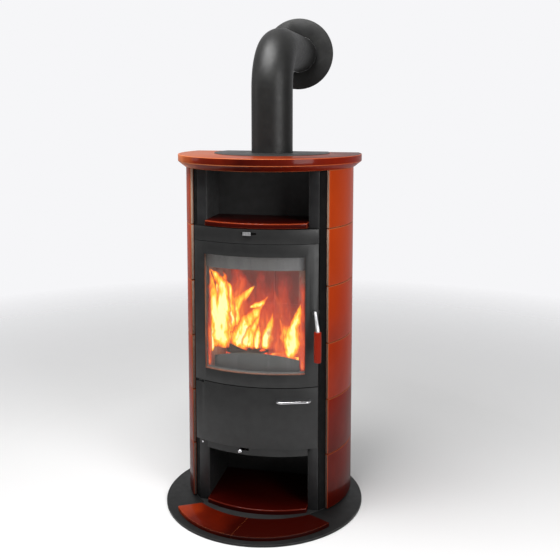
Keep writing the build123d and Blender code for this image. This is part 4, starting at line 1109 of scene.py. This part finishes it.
# %% [markdown]
# ## Floor, light and camera
# Soft light falls from pale surroundings. A wide softbox above the front gives most of it, a tall one at the right
# puts the bright line on the tiles, and a weak one keeps the left from going black. The floor is one large plane that
# fades out with distance, so no horizon cuts behind the stove. The world is dim as a light, and pale only for the
# rays that look at it: the camera's, those through glass and those of gloss.

# %% Floor
def pale_floor():
    bpy.ops.mesh.primitive_plane_add(size=12, location=(0, 0, 0))
    floor = bpy.context.object
    floor.name = "floor"
    material, tree = finish("pale_floor", Base_Color=srgb(238), Roughness=0.55)
    away = add(tree, "VectorMath", {0: place(tree)}, "Value", operation="LENGTH")
    feed(tree, Alpha=spread(tree, away, 1.0, 0.0, 1.2, 3.6))
    floor.data.materials.append(material)


pale_floor()

# %% Lights
def softbox(name, at, towards, size, power):
    lamp = bpy.data.lights.new(name, "AREA")
    lamp.shape = "RECTANGLE"
    lamp.size, lamp.size_y = size
    lamp.energy = power
    holder = bpy.data.objects.new(name, lamp)
    holder.location = at
    holder.rotation_euler = (Vector(towards) - Vector(at)).to_track_quat("-Z", "Y").to_euler()
    SCENE.collection.objects.link(holder)


softbox("ceiling_light", (-0.5, -0.8, 3.2), (0, 0, 0.6), (1.8, 1.6), 108)
softbox("window_light", (2.4, -1.9, 1.8), (0, 0, 0.8), (1.3, 2.0), 54)
softbox("room_light", (-3.2, -0.2, 1.9), (0, 0, 0.9), (0.8, 1.8), 9)


def pale_room():
    """Pale to look at and dim as a light; for gloss it darkens towards the front."""
    world = bpy.data.worlds.new("pale_room")
    SCENE.world = world
    world.use_nodes = True
    tree = world.node_tree
    light = tree.nodes["Background"]
    light.inputs["Color"].default_value = srgb(255)
    light.inputs["Strength"].default_value = 0.15
    seen = add(tree, "Background", {"Color": srgb(246, 246, 248)})
    depth = add(tree, "SeparateXYZ", {"Vector": add(tree, "TexCoord", out="Generated")}, "Y")
    gloss = calculate(tree, "MULTIPLY", ray(tree, "Glossy"), spread(tree, depth, 0.0, 0.7, 0.3, 1.0))
    look = calculate(tree, "MAXIMUM", ray(tree, "Camera"), ray(tree, "Transmission"))
    show_mix(tree, calculate(tree, "MAXIMUM", look, gloss), light.outputs[0], seen)


pale_room()
print("lamps", len(bpy.data.lights), "world", SCENE.world.name)

# %% [markdown]
# ## The camera
# The camera is a little to the right of the door and above it, turned and tipped by angles that were fitted to the
# stove's edges. The picture is shifted instead of tipped further, which keeps uprights upright.

# %% Camera
camera = bpy.data.objects.new("camera", bpy.data.cameras.new("camera"))
camera.location = (0.637, -2.783, 1.408)
TURN, DIP = 12.17, 6.338
camera.rotation_euler = (math.radians(90 - DIP), 0, math.radians(TURN))
camera.data.lens = 51.06
camera.data.shift_y = -0.153
SCENE.collection.objects.link(camera)
SCENE.camera = camera
print("lens", round(camera.data.lens, 2), "shift", round(camera.data.shift_y, 3))
